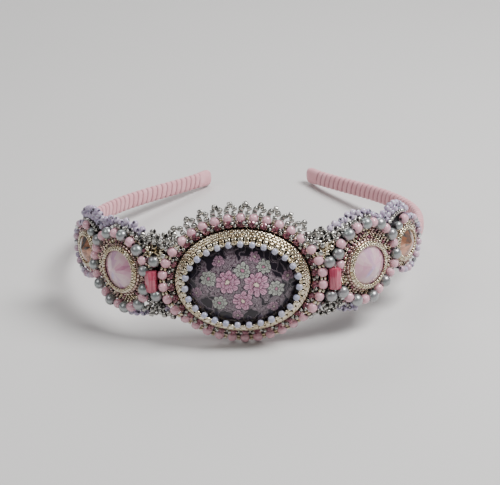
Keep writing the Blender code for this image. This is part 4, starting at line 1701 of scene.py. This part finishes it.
@dataclass(frozen=True)
class StoneSetting:
    """A round cut stone in a woven wall of gold and bronze beads.

    Rows of the wall and of the seeds round it are (outset, height) pairs in millimetres. Rows of
    the cut are size, height and twist: two shares of the radius and one of a facet.
    """

    label: str
    arc: float
    up: float
    radius: float
    finish: CutStone
    slot: str
    wall: tuple[Spot, ...]
    columns: int
    field_rows: tuple[Spot, ...]
    field_pitch: float = 1.42
    field_room: float = 0.0001
    lip: Spot = (-0.62, 0.52)
    lip_crowding: float = 1.25
    facets: int = 16
    cut: tuple[tuple[float, float, float], ...] = (
        (0.75, 0.04, 0.0), (0.99, 0.30, 0.0), (0.99, 0.40, 0.0), (0.56, 0.62, 0.5), (0.14, 0.78, 1.0),
    )

    def seat(self, side: Side) -> Seat:
        """Return the stone's flat place on the cloth."""
        return BAND.seat(side.value * self.arc, self.up)

    def build_stone(self, side: Side) -> None:
        """Build the stone: girdle, two rows of crown facets and a small table.

        Args:
            side: the side of the headband.
        """
        mesh = bmesh.new()
        rings = []
        for size, height, twist in self.cut:
            angles = 2 * math.pi * (np.arange(self.facets) + twist) / self.facets
            flat = ellipse(size * self.radius, size * self.radius, angles)
            rings.append([mesh.verts.new((x, y, height * self.radius)) for x, y in flat])
        for row, (lower, upper) in enumerate(zip(rings, rings[1:])):
            for index in range(self.facets):
                after = (index + 1) % self.facets
                if self.cut[row][2] == self.cut[row + 1][2]:
                    mesh.faces.new((lower[index], lower[after], upper[after], upper[index]))
                else:
                    mesh.faces.new((lower[index], lower[after], upper[index]))
                    mesh.faces.new((upper[index], lower[after], upper[after]))
        mesh.faces.new(rings[0])
        mesh.faces.new(rings[-1])
        bmesh.ops.recalc_face_normals(mesh, faces=mesh.faces)
        name = f"{self.label}_cut_stone_{side.label}"
        data = bpy.data.meshes.new(name)
        mesh.to_mesh(data)
        mesh.free()
        data.materials.append(self.finish.material())
        made = put_in_scene(name, data)
        self.tone_facets(made, 21 + side.value)
        made.matrix_world = self.seat(side).matrix()
        settle(made, self.slot, f"{self.label}_stone_{side.label}")
        LOG.info("%s: %d facets", name, len(data.polygons))

    def tone_facets(self, made: bpy.types.Object, seed: int) -> None:
        """Give every facet a tone that sweeps round the stone, a little unevenly.

        Args:
            made: the stone.
            seed: the number that the unevenness starts from.
        """
        around = np.array([math.atan2(face.center.y, face.center.x) for face in made.data.polygons])
        sweep = np.sin(self.finish.cycles * around + self.finish.sweep_turn)
        uneven = np.random.default_rng(seed).normal(0, self.finish.unevenness, len(around))
        tone = np.clip(0.5 + self.finish.sweep * sweep + uneven, 0, 1)
        set_values(made, TONE, tone, "FACE")

    def around(self, side: Side, outset: float, height: float, count: int, shift: float) -> Ring:
        """Lay an evenly beaded ring round the stone.

        Args:
            side: the side of the headband.
            outset: distance outside the stone's edge, in millimetres.
            height: distance over the cloth, in millimetres.
            count: number of beads.
            shift: how far the first bead is moved on, as a share of the spacing.

        Returns:
            The places and the directions along the ring.
        """
        angles = 2 * math.pi * (np.arange(count) + shift) / count
        radius = self.radius + outset * MM
        local = np.column_stack([ellipse(radius, radius, angles), np.full(count, height * MM)])
        tangent = np.column_stack([-np.sin(angles), np.cos(angles), 0 * angles])
        seat = self.seat(side)
        return seat.points(local), seat.vectors(tangent)

    def build_bezel(self, side: Side) -> None:
        """Build the wall: bronze rows at the foot, a gold row above and a fine bright lip.

        Args:
            side: the side of the headband.
        """
        work = BeadWork(f"{self.label}_woven_bezel_{side.label}", 31 + side.value)
        for row, (outset, height) in enumerate(self.wall):
            finish = GOLD if row == len(self.wall) - 1 else BRONZE
            shift = 0.5 * (row % 2)
            work.add(WALL_BEAD, finish, *self.around(side, outset, height, self.columns, shift))
        outset, height = np.add(self.wall[-1], self.lip)
        count = round(self.lip_crowding * self.columns)
        work.add(TINY, GOLD, *self.around(side, outset, height, count, 0.25))
        work.join("gold_beads", f"{self.label}_bezel_{side.label}")

    def build_field(self, side: Side, crowd: np.ndarray, *nodes: str) -> None:
        """Build the bronze, claret and gold seeds between the wall and the strung beads.

        Args:
            side: the side of the headband.
            crowd: rows of place and radius of the larger beads that the seeds stay clear of.
            nodes: the solids that the seeds stand for.
        """
        work = BeadWork(f"{self.label}_seed_field_{side.label}", 41 + side.value)
        for row, (outset, height) in enumerate(self.field_rows):
            count = round(2 * math.pi * (self.radius / MM + outset) / self.field_pitch)
            places, tangents = self.around(side, outset, height, count, 0.5 * (row % 2))
            free = clear_of(places, crowd, self.field_room)
            pick = work.draws.uniform(0, 1, np.count_nonzero(free))
            work.scatter(FINE_SEED, FIELD_BLEND, places[free], tangents[free], pick, wobble=0.5)
        work.join("bronze_beads", *nodes)


def clear_of(places: np.ndarray, crowd: np.ndarray, room: float) -> np.ndarray:
    """Tell which places lie outside a crowd of beads, each a row of x, y, z and radius."""
    away = np.linalg.norm(places[:, None] - crowd[None, :, :3], axis=2)
    return np.all(away > crowd[:, 3] + room, axis=1)


# Facet tones swept round the stone are painted reflections; the blue glint is a painted glint.
OPAL_STONE = CutStone(
    "pink_opal_stone",
    shades=((0.44, 0.15, 0.27), (0.64, 0.34, 0.44), (0.70, 0.50, 0.53), (0.55, 0.31, 0.48)),
    glint=(0.42, 0.40, 0.90), glint_turn=math.radians(-120.0), radius=0.007, roughness=0.16,
    unevenness=0.10, sweep_turn=math.radians(-120.0),
)
# Facet tones are painted reflections, swept once round the stone from grey above to orange-brown below; the
# pale glint is a painted gleam.
PEACH_STONE = CutStone(
    "peach_crystal_stone",
    shades=(
        (0.03, 0.026, 0.026), (0.16, 0.13, 0.12), (0.42, 0.18, 0.10), (0.60, 0.30, 0.20),
        (0.08, 0.03, 0.02),
    ),
    glint=(0.85, 0.60, 0.46), glint_turn=math.radians(-80.0), radius=0.0052, roughness=0.05,
    milk=0.0, metallic=0.5, unevenness=0.20, cycles=1.0, sweep_turn=math.radians(160.0),
)


@dataclass(frozen=True)
class SideSpots:
    """Measured bead places of one side, in millimetres of arc and up."""

    pearls: tuple[Spot, ...]
    pinks: tuple[Spot, ...]
    join_pearls: tuple[tuple[str, float, float], ...]
    gold: tuple[Spot, ...]
    silver: tuple[Spot, ...]
    low_silver: tuple[Spot, ...]
    lavender: tuple[Spot, ...]
    fan: tuple[Spot, ...]
    line: tuple[Spot, ...]
    drops: tuple[Spot, ...]


SPOTS = {
    Side.LEFT: SideSpots(
        pearls=(
            (31.2, 1.4), (33.1, 8.3), (38.3, 12.6), (45.0, 12.2), (50.6, 8.5), (53.6, -0.9), (51.2, -7.4),
            (45.6, -11.9), (38.9, -13.1), (33.5, -10.9), (31.5, -5.2),
        ),
        pinks=(
            (31.6, 4.9), (35.5, 10.7), (41.8, 12.7), (48.2, 10.5), (52.2, 5.3), (53.3, 2.4), (52.9, -4.4),
            (48.3, -9.9), (42.2, -12.7), (36.4, -12.5), (32.1, -8.3),
        ),
        join_pearls=(("upper_inner", 28.1, 4.9), ("lower", 27.9, -7.2)),
        gold=(
            (29.8, 9.2), (27.9, 9.8), (25.9, 8.3), (28.9, 7.6), (27.2, 8.0), (30.3, 7.4), (26.6, 6.6),
            (25.6, 9.6), (29.9, 5.9), (26.2, 5.1),
        ),
        silver=(
            (42.1, 14.9), (40.1, 15.0), (38.0, 14.8), (36.5, 14.2), (35.0, 13.4), (33.8, 12.2),
            (32.3, 11.1), (30.8, 12.3), (29.3, 13.7), (28.0, 12.4), (26.9, 13.4), (24.9, 13.9),
            (24.9, 12.0), (26.4, 11.6), (29.9, 10.9), (28.0, 11.0), (25.3, 10.6), (31.2, 9.6), (29.2, 12.2),
            (23.4, 13.0), (31.6, 13.6), (23.0, 14.8), (28.3, 14.9), (22.6, 11.3), (23.6, 10.2), (21.4, 12.6),
            (21.5, 10.9), (20.7, 11.8),
        ),
        low_silver=(
            (24.9, -13.8), (26.0, -12.6), (27.3, -13.4), (28.8, -13.9), (30.0, -13.0), (31.2, -12.2),
            (27.4, -11.8), (28.8, -12.1), (30.3, -14.4), (26.2, -14.4), (23.6, -14.9), (32.6, -13.0),
        ),
        lavender=(
            (42.4, 16.8), (40.3, 16.4), (37.8, 17.3), (36.2, 16.0), (34.4, 16.9), (34.2, 15.0), (31.9, 15.2),
            (32.5, 13.9), (44.3, 15.7), (46.3, 14.9), (45.4, 17.0), (48.1, 14.2), (38.9, 15.8), (47.9, 16.0),
        ),
        fan=(
            (62.6, 15.2), (60.9, 16.6), (58.9, 17.6), (56.9, 18.2), (54.8, 18.4), (52.8, 18.0), (51.0, 17.2),
            (49.5, 15.9), (60.4, 14.9), (58.6, 15.8), (56.6, 16.4), (54.5, 16.5), (52.5, 16.0), (50.9, 14.9),
            (52.4, 14.0), (50.3, 13.0), (59.3, 15.0), (57.5, 15.2), (55.5, 15.2), (53.6, 15.0), (61.6, 14.3),
        ),
        line=((60.2, 13.7), (59.0, 14.0), (57.8, 14.1), (56.6, 13.9), (55.5, 13.5), (54.5, 12.9),
              (53.5, 12.2), (52.6, 11.5)),
        drops=((35.6, -15.0), (33.2, -14.6), (31.8, -14.0), (25.3, -12.2), (37.9, -15.2),
               (33.6, -12.9), (35.4, -13.2), (37.4, -13.5)),
    ),
    Side.RIGHT: SideSpots(
        pearls=(
            (33.5, 12.3), (39.4, 14.9), (45.3, 13.5), (50.6, 8.6), (52.7, 1.2), (47.4, -7.4), (41.8, -11.3),
            (35.7, -11.2), (31.4, -7.4),
        ),
        pinks=(
            (30.7, 2.4), (31.2, 9.4), (36.3, 13.9), (42.5, 14.6), (48.2, 11.2), (51.8, 5.2), (52.0, -2.2),
            (50.2, -5.1), (44.6, -9.5), (38.7, -11.7), (33.3, -9.7),
        ),
        join_pearls=(("upper_inner", 27.7, 3.7), ("upper_outer", 30.3, 6.2), ("lower", 28.1, -8.2)),
        gold=(
            (25.7, 7.9), (27.1, 8.5), (28.5, 8.4), (26.0, 6.4), (27.4, 6.8), (28.8, 9.8), (27.0, 9.9),
            (25.3, 9.4), (25.9, 4.9), (24.9, 6.3),
        ),
        silver=(
            (30.9, 12.6), (32.0, 14.1), (34.4, 15.4), (35.9, 16.1), (27.6, 12.0), (26.2, 11.4), (29.2, 11.3),
            (30.2, 10.8), (25.2, 10.4), (24.1, 12.5), (22.0, 13.4), (24.4, 14.2), (25.7, 13.0), (27.1, 13.5),
            (29.0, 13.0), (28.0, 10.4), (22.9, 11.9), (37.8, 16.5), (39.7, 17.0), (33.2, 15.2), (30.4, 14.4),
            (41.6, 16.5), (25.8, 14.9), (21.5, 11.0), (22.6, 10.6), (20.8, 12.1),
        ),
        low_silver=(
            (24.5, -13.7), (22.1, -15.4), (23.2, -14.3), (28.1, -12.4), (29.6, -12.0), (28.9, -13.7),
            (26.6, -12.8), (25.7, -14.8), (30.6, -10.6), (27.4, -14.4), (26.0, -11.5), (31.9, -11.8),
            (33.2, -12.6), (30.9, -12.3),
        ),
        lavender=(
            (34.0, 18.6), (37.6, 18.6), (32.0, 16.9), (33.2, 17.0), (28.5, 14.8), (29.9, 16.2), (35.6, 17.6),
            (42.1, 17.9), (43.8, 16.7), (45.4, 15.9), (40.0, 18.7), (38.6, 17.2), (31.0, 15.7), (36.0, 19.0),
            (47.2, 15.0),
        ),
        fan=(
            (50.7, 17.4), (52.0, 18.2), (53.9, 18.5), (55.7, 18.2), (57.5, 17.4), (59.3, 16.2), (61.2, 14.9),
            (48.6, 16.1), (49.2, 14.6), (52.0, 16.4), (54.0, 16.8), (56.0, 16.5), (57.9, 15.5), (51.2, 15.0),
            (50.4, 13.4), (59.8, 14.4), (57.0, 16.0), (55.0, 16.0), (53.0, 15.6),
        ),
        line=((58.6, 14.8), (57.4, 15.1), (56.2, 15.2), (55.0, 15.0), (53.9, 14.6), (52.8, 14.1),
              (51.8, 13.4), (50.9, 12.7)),
        drops=((32.5, -14.1), (36.2, -14.6), (31.0, -13.4), (34.3, -14.2), (24.6, -12.0),
               (33.0, -12.4), (34.8, -12.6), (36.6, -12.9)),
    ),
}


BEHIND_PEARLS = ((46.8, 13.2), (48.1, 12.6), (49.4, 12.3), (48.6, 13.6), (50.0, 12.9))


@dataclass(frozen=True)
class SeedHeap:
    """The seeds that fill the dip between two medallions, in millimetres of arc and up."""

    corner: Spot = (23.6, -13.4)
    pitch: Spot = (1.35, 1.2)
    rows: int = 22
    columns: int = 9
    shift: float = 0.68
    unevenness: float = 0.12
    dip: Oval = Oval(28.0, -1.0, 5.2, 12.4)
    taken: tuple[Oval, ...] = (Oval(0.0, -2.1, 27.6, 22.9), Oval(39.8, 0.0, 9.3, 9.3))
    foot: float = -6.5
    head: float = 5.0
    foot_blend: tuple[tuple[Finish, float], ...] = ((SMOKE, 0.7), (SILVER, 1.0))
    head_blend: tuple[tuple[Finish, float], ...] = ((SMOKE, 0.6), (BRONZE, 1.0))
    middle_blend: tuple[tuple[Finish, float], ...] = ((BRONZE, 0.5), (CLARET, 1.0))

    def spots(self, draws: np.random.Generator) -> np.ndarray:
        """Lay out the seeds in slightly uneven rows.

        Args:
            draws: the piece's random draws.

        Returns:
            The places.
        """
        row, column = np.divmod(np.arange(self.rows * self.columns), self.columns)
        arc = self.corner[0] + self.pitch[0] * column + self.shift * (row % 2)
        spots = np.stack([arc, self.corner[1] + self.pitch[1] * row], 1)
        return spots + draws.normal(0, self.unevenness, spots.shape)

    def fill(
        self, work: BeadWork, medallion: SideMedallion, height: float, room: float, wobble: float
    ) -> None:
        """Add the seeds wherever the larger beads leave room.

        Args:
            work: the beadwork to add to.
            medallion: the side's medallion.
            height: distance over the cloth, in millimetres.
            room: distance kept from the larger beads.
            wobble: how far the holes lean at random.
        """
        spots = self.spots(work.draws)
        places = medallion.on_cloth(spots, height)
        free = self.dip.holds(spots) & clear_of(places, medallion.crowd(), room)
        for oval in self.taken:
            free &= ~oval.holds(spots)
        pick = work.draws.uniform(0, 1, len(spots))
        low, high = spots[:, 1] < self.foot, spots[:, 1] > self.head
        for zone, blend in (
            (low, self.foot_blend), (high, self.head_blend), (~low & ~high, self.middle_blend)
        ):
            mine = free & zone
            work.scatter(FINE_SEED, blend, places[mine], medallion.along(), pick[mine], wobble)


@dataclass(frozen=True)
class SideMedallion:
    """One side's two stones with their strings, tube bead, clusters and edging.

    Heights over the cloth and the rooms that beads take up are millimetres.
    """

    side: Side
    side_stone: StoneSetting = StoneSetting(
        "side", 0.0398, 0.0004, 0.0070, OPAL_STONE, "opal_glass",
        ((1.45, 0.75), (1.35, 1.85), (0.80, 2.80)), 36,
        ((2.20, 0.8), (3.15, 0.7), (4.10, 0.65), (5.05, 0.55), (5.95, 0.3)),
    )
    outer_stone: StoneSetting = StoneSetting(
        "outer", 0.0594, 0.0030, 0.0052, PEACH_STONE, "peach_glass",
        ((1.10, 0.75), (0.70, 1.75)), 27,
        ((1.80, 0.8), (2.75, 0.7)),
    )
    heap: SeedHeap = SeedHeap()
    pearl_height: float = 2.3
    pink_height: float = 2.0
    join_height: float = 2.2
    pearl_room: float = 2.05
    pink_room: float = 1.63
    tube_room: float = 2.0
    outer_string: Oval = Oval(0.0600, 0.0029, 0.0085, 0.0095)
    outer_kinds: str = "pvpvcpvpcpvcpvv"
    outer_span: Spot = (-111.0, 86.0)
    outer_height: float = 1.7
    outer_ends: Spot = (104.0, 128.0)
    tube_arc: float = 0.0291
    tube_up: float = -0.0020
    tube_radius: float = 0.00225
    tube_half: float = 0.00375
    tube_bore: float = 0.0006
    tube_sides: int = 6
    tube_rim: tuple[Spot, ...] = ((0.00050, 1.0), (0.00012, 0.975), (0.0, 0.93))
    ridge_sharpness: float = 0.97

    @property
    def spots(self) -> SideSpots:
        """Return the measured places of this side."""
        return SPOTS[self.side]

    def on_cloth(self, spots: Sequence[Spot], height: float) -> np.ndarray:
        """Return places from millimetres of arc and up, at a height in millimetres over the cloth."""
        arc, up = np.array(spots, float).T * MM
        return BAND.place(self.side.value * arc, CLOTH_FRONT + height * MM, up)

    def along(self) -> np.ndarray:
        """Return the band's direction at the side stone."""
        return BAND.seat(self.side.value * self.side_stone.arc, 0.0).along

    def beside_tube(self, *steps: float) -> list[Spot]:
        """Return places in line with the tube bead, by millimetres from its middle."""
        return [(self.tube_arc / MM, self.tube_up / MM + step) for step in steps]

    def crowd(self) -> np.ndarray:
        """Gather the larger beads.

        Returns:
            Rows of x, y, z and radius.
        """
        joins = [(arc, up) for _, arc, up in self.spots.join_pearls]
        groups = (
            (self.spots.pearls, self.pearl_height, self.pearl_room),
            (self.spots.pinks, self.pink_height, self.pink_room),
            (joins, self.pearl_height, self.pearl_room),
            (self.beside_tube(-3.0, -1.5, 0.0, 1.5, 3.0), self.join_height, self.tube_room),
        )
        return np.concatenate([
            np.column_stack([self.on_cloth(places, height), np.full(len(places), room * MM)])
            for places, height, room in groups
        ])

    def build_string(self) -> None:
        """Build the string of grey pearls and pink beads round the side stone."""
        work = BeadWork(f"side_pearl_string_{self.side.label}", 51 + self.side.value)
        seat = self.side_stone.seat(self.side)
        for spots, form, finish, height in (
            (self.spots.pearls, PEARL_BEAD, PEARL, self.pearl_height),
            (self.spots.pinks, ROUND_BEAD, PINK, self.pink_height),
        ):
            places = self.on_cloth(spots, height)
            axes = unit(np.cross(seat.outward, places - seat.origin))
            work.add(form, finish, places, axes, wobble=0.12)
        work.join("grey_pearl", f"side_bead_string_{self.side.label}")

    def build_outer_string(self) -> None:
        """Build the string of small pearls, pink and lavender beads round the outer stone."""
        work = BeadWork(f"outer_pearl_string_{self.side.label}", 61 + self.side.value)
        angles = np.radians(np.linspace(*self.outer_span, len(self.outer_kinds)))
        places = self.on_cloth(self.outer_string.at(angles) / MM, self.outer_height)
        axes = unit(np.gradient(places, axis=0))
        forms = {"p": (SMALL_ROUND, LILAC), "v": (DROP, LAVENDER), "c": (CRYSTAL_DROP, CLEAR)}
        for kind, (form, finish) in forms.items():
            mine = np.array([letter == kind for letter in self.outer_kinds])
            work.add(form, finish, places[mine], axes[mine], wobble=0.2)
        ends = self.outer_string.at(np.radians(self.outer_ends)) / MM
        pink, pearl = self.on_cloth(ends, self.outer_height + 0.1)
        work.add(ROUND_BEAD, PINK, pink, self.along(), wobble=0.2)
        work.add(SMALL_PEARL, PEARL, pearl, self.along(), wobble=0.2)
        work.join("grey_pearl", f"outer_bead_string_{self.side.label}")

    def build_tube(self) -> None:
        """Build the tube bead, its ridges a little rounded."""
        columns = 4 * self.tube_sides
        angles = 2 * math.pi * np.arange(columns) / columns
        flat = math.pi / self.tube_sides
        ridge = math.cos(flat) / np.cos((angles + flat) % (2 * flat) - flat)
        soft = (1.0 - self.ridge_sharpness) * math.cos(flat)
        ridge = self.ridge_sharpness * ridge / ridge.max() + soft
        insets, shares = np.array(self.tube_rim).T
        rims = (self.tube_radius - insets)[:, None] * ridge
        bore = np.full((1, columns), self.tube_bore)
        reach = np.concatenate([bore, rims, rims[::-1], bore])
        height = self.tube_half * np.concatenate([[-1.0], -shares, shares[::-1], [1.0]])
        points = np.empty((*reach.shape, 3))
        points[..., 0], points[..., 1] = reach * np.cos(angles), reach * np.sin(angles)
        points[..., 2] = height[:, None]
        faces = grid_faces(*reach.shape, True, True)
        name = f"rose_tube_bead_{self.side.label}"
        made = make_object(name, points.reshape(-1, 3), faces, [ROSE.material()])
        made.data.set_sharp_from_angle(angle=math.radians(32.0))
        seat = BAND.seat(self.side.value * self.tube_arc, self.tube_up)
        place = seat.origin + (GAP + self.tube_radius * math.cos(flat)) * seat.outward
        made.matrix_world = Seat(place, seat.along, -seat.outward, seat.upward).matrix()
        settle(made, "rose_glass", f"tube_bead_{self.side.label}")
        LOG.info("%s: %d sides", name, self.tube_sides)

    def build_join_pearls(self) -> None:
        """Build the pearls at the two ends of the tube bead."""
        for label, arc, up in self.spots.join_pearls:
            work = BeadWork(f"join_pearl_{label}_strung_{self.side.label}", 71 + self.side.value)
            places = self.on_cloth([(arc, up)], self.join_height)
            work.add(PEARL_BEAD, PEARL, places, BAND.seat(0.0, 0.0).upward, wobble=0.12)
            work.join("grey_pearl", f"join_pearl_{label}_{self.side.label}")

    def build_gold_cluster(self) -> None:
        """Build the heap of gold seeds over the tube bead and the bead at each of its ends."""
        work = BeadWork(f"gold_join_cluster_{self.side.label}", 81 + self.side.value)
        work.add(LIP_BEAD, GOLD, self.on_cloth(self.spots.gold, 1.5), self.along(), wobble=0.9)
        end = self.tube_half / MM + 0.5
        ends = self.on_cloth(self.beside_tube(end, -end), self.join_height)
        work.add(FINE_SEED, SILVER, ends, BAND.seat(0.0, 0.0).upward)
        missing_pearl = [f"join_pearl_upper_outer_{self.side.label}"]
        work.join("gold_beads", *(missing_pearl if self.side is Side.LEFT else []))

    def build_silver_cluster(self) -> None:
        """Build the silver seeds over and under the tube bead and the smoky ones behind it."""
        work = BeadWork(f"silver_join_seeds_{self.side.label}", 91 + self.side.value)
        line = np.array(self.spots.line)
        for form, finish, spots, height, wobble in (
            (SEED, SILVER, self.spots.silver, 0.9, 0.5),
            (SEED, SILVER, self.spots.low_silver, 0.5, 0.5),
            (WALL_BEAD, SILVER, line, 1.3, 0.2),
            (FINE_SEED, SMOKE, line - (0.0, 0.2), 0.1, 0.5),
            (FINE_SEED, SMOKE, line - (0.0, 1.4), 0.1, 0.5),
            (FINE_SEED, SMOKE, BEHIND_PEARLS, 0.2, 0.5),
        ):
            work.add(form, finish, self.on_cloth(spots, height), self.along(), wobble=wobble)
        self.heap.fill(work, self, height=0.75, room=0.0002, wobble=0.8)
        work.join("silver_beads")

    def build_edging(self) -> None:
        """Build the lavender picots over the side stone, the fan over the outer one and the drops."""
        work = BeadWork(f"lavender_picot_edging_{self.side.label}", 101 + self.side.value)
        spots = self.spots
        for places, height in ((spots.lavender, 0.2), (spots.fan, 0.4), (spots.drops, 0.3)):
            work.add(DROP, LAVENDER, self.on_cloth(places, height), self.along(), wobble=0.9)
        work.join("lavender_crystal", f"side_edging_{self.side.label}")

    def build(self) -> None:
        """Build every piece of this side."""
        crowd = self.crowd()
        for stone in (self.side_stone, self.outer_stone):
            stone.build_stone(self.side)
            stone.build_bezel(self.side)
        self.side_stone.build_field(self.side, crowd, f"side_seed_ring_{self.side.label}")
        self.outer_stone.build_field(self.side, crowd)
        self.build_string()
        self.build_outer_string()
        self.build_tube()
        self.build_join_pearls()
        self.build_gold_cluster()
        self.build_silver_cluster()
        self.build_edging()


@dataclass(frozen=True)
class SoftLight:
    """A square lamp that points at the headband."""

    name: str
    place: tuple[float, float, float]
    size: float
    power: float

    def hang(self) -> None:
        """Hang the lamp."""
        data = bpy.data.lights.new(self.name, "AREA")
        data.energy, data.size = self.power, self.size
        light = put_in_scene(self.name, data)
        light.location = self.place
        light.rotation_euler = (-Vector(self.place)).to_track_quat("-Z", "Y").to_euler()


@dataclass(frozen=True)
class Studio:
    """Camera, floor and soft light."""

    azimuth: float = math.radians(-3.449)
    elevation: float = math.radians(25.502)
    distance: float = 0.5283
    aim: tuple[float, float, float] = (0.0, 0.0, 0.02)
    slide: Spot = (-0.00084, -0.01279)
    roll: float = math.radians(-2.577)
    lens: float = 100.8
    floor_reach: float = 3.0
    lights: tuple[SoftLight, ...] = (
        SoftLight("key", (0.40, -0.08, 0.66), 0.34, 9.6),
        SoftLight("fill", (-0.50, -0.30, 0.60), 0.42, 1.8),
        SoftLight("back", (-0.10, 0.70, 0.60), 0.50, 3.4),
    )
    surround: Colour = (0.80, 0.80, 0.82)
    surround_strength: float = 0.19

    def set_camera(self) -> None:
        """Set the camera at the photograph's angle."""
        az, el = self.azimuth, self.elevation
        forward = Vector((math.sin(az) * math.cos(el), math.cos(az) * math.cos(el), -math.sin(el)))
        right = Vector((math.cos(az), -math.sin(az), 0.0))
        upward = right.cross(forward)
        place = Vector(self.aim) + right * self.slide[0] + upward * self.slide[1]
        place -= forward * self.distance
        c, s = math.cos(self.roll), math.sin(self.roll)
        across, rise = c * right + s * upward, c * upward - s * right
        data = bpy.data.cameras.new("camera")
        data.lens = self.lens
        data.clip_start, data.clip_end = 0.01, 20.0
        camera = put_in_scene("camera", data)
        rows = zip(across, rise, -forward, place)
        camera.matrix_world = Matrix([*[list(row) for row in rows], [0.0, 0.0, 0.0, 1.0]])
        bpy.context.scene.camera = camera

    def lay_floor(self) -> None:
        """Lay the pale floor."""
        corners = [(-1.0, -1.0, 0.0), (1.0, -1.0, 0.0), (1.0, 1.0, 0.0), (-1.0, 1.0, 0.0)]
        points = self.floor_reach * np.array(corners)
        make_object("floor", points, np.array([[0, 1, 2, 3]]), [FLOOR.material()])

    def hang_lights(self) -> None:
        """Hang the key light, the fill and the back light, and set the pale surround."""
        for light in self.lights:
            light.hang()
        world = bpy.data.worlds.new("surround")
        world.use_nodes = True
        background = world.node_tree.nodes["Background"]
        background.inputs["Color"].default_value = (*self.surround, 1.0)
        background.inputs["Strength"].default_value = self.surround_strength
        bpy.context.scene.world = world


def main() -> None:
    """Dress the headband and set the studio."""
    logging.basicConfig(level=logging.INFO, format="%(message)s")
    WrappedBand().build()
    cloth = FoundationCloth()
    cloth.declare(cloth.build(), cloth.build_stitches())
    centre = CentreMedallion()
    centre.build_cabochon()
    centre.build_bezel()
    centre.build_opals()
    centre.build_netting()
    centre.build_pinks()
    centre.build_picots()
    for side in Side:
        SideMedallion(side).build()
    studio = Studio()
    studio.set_camera()
    studio.lay_floor()
    studio.hang_lights()


if __name__ == "__main__":
    main()
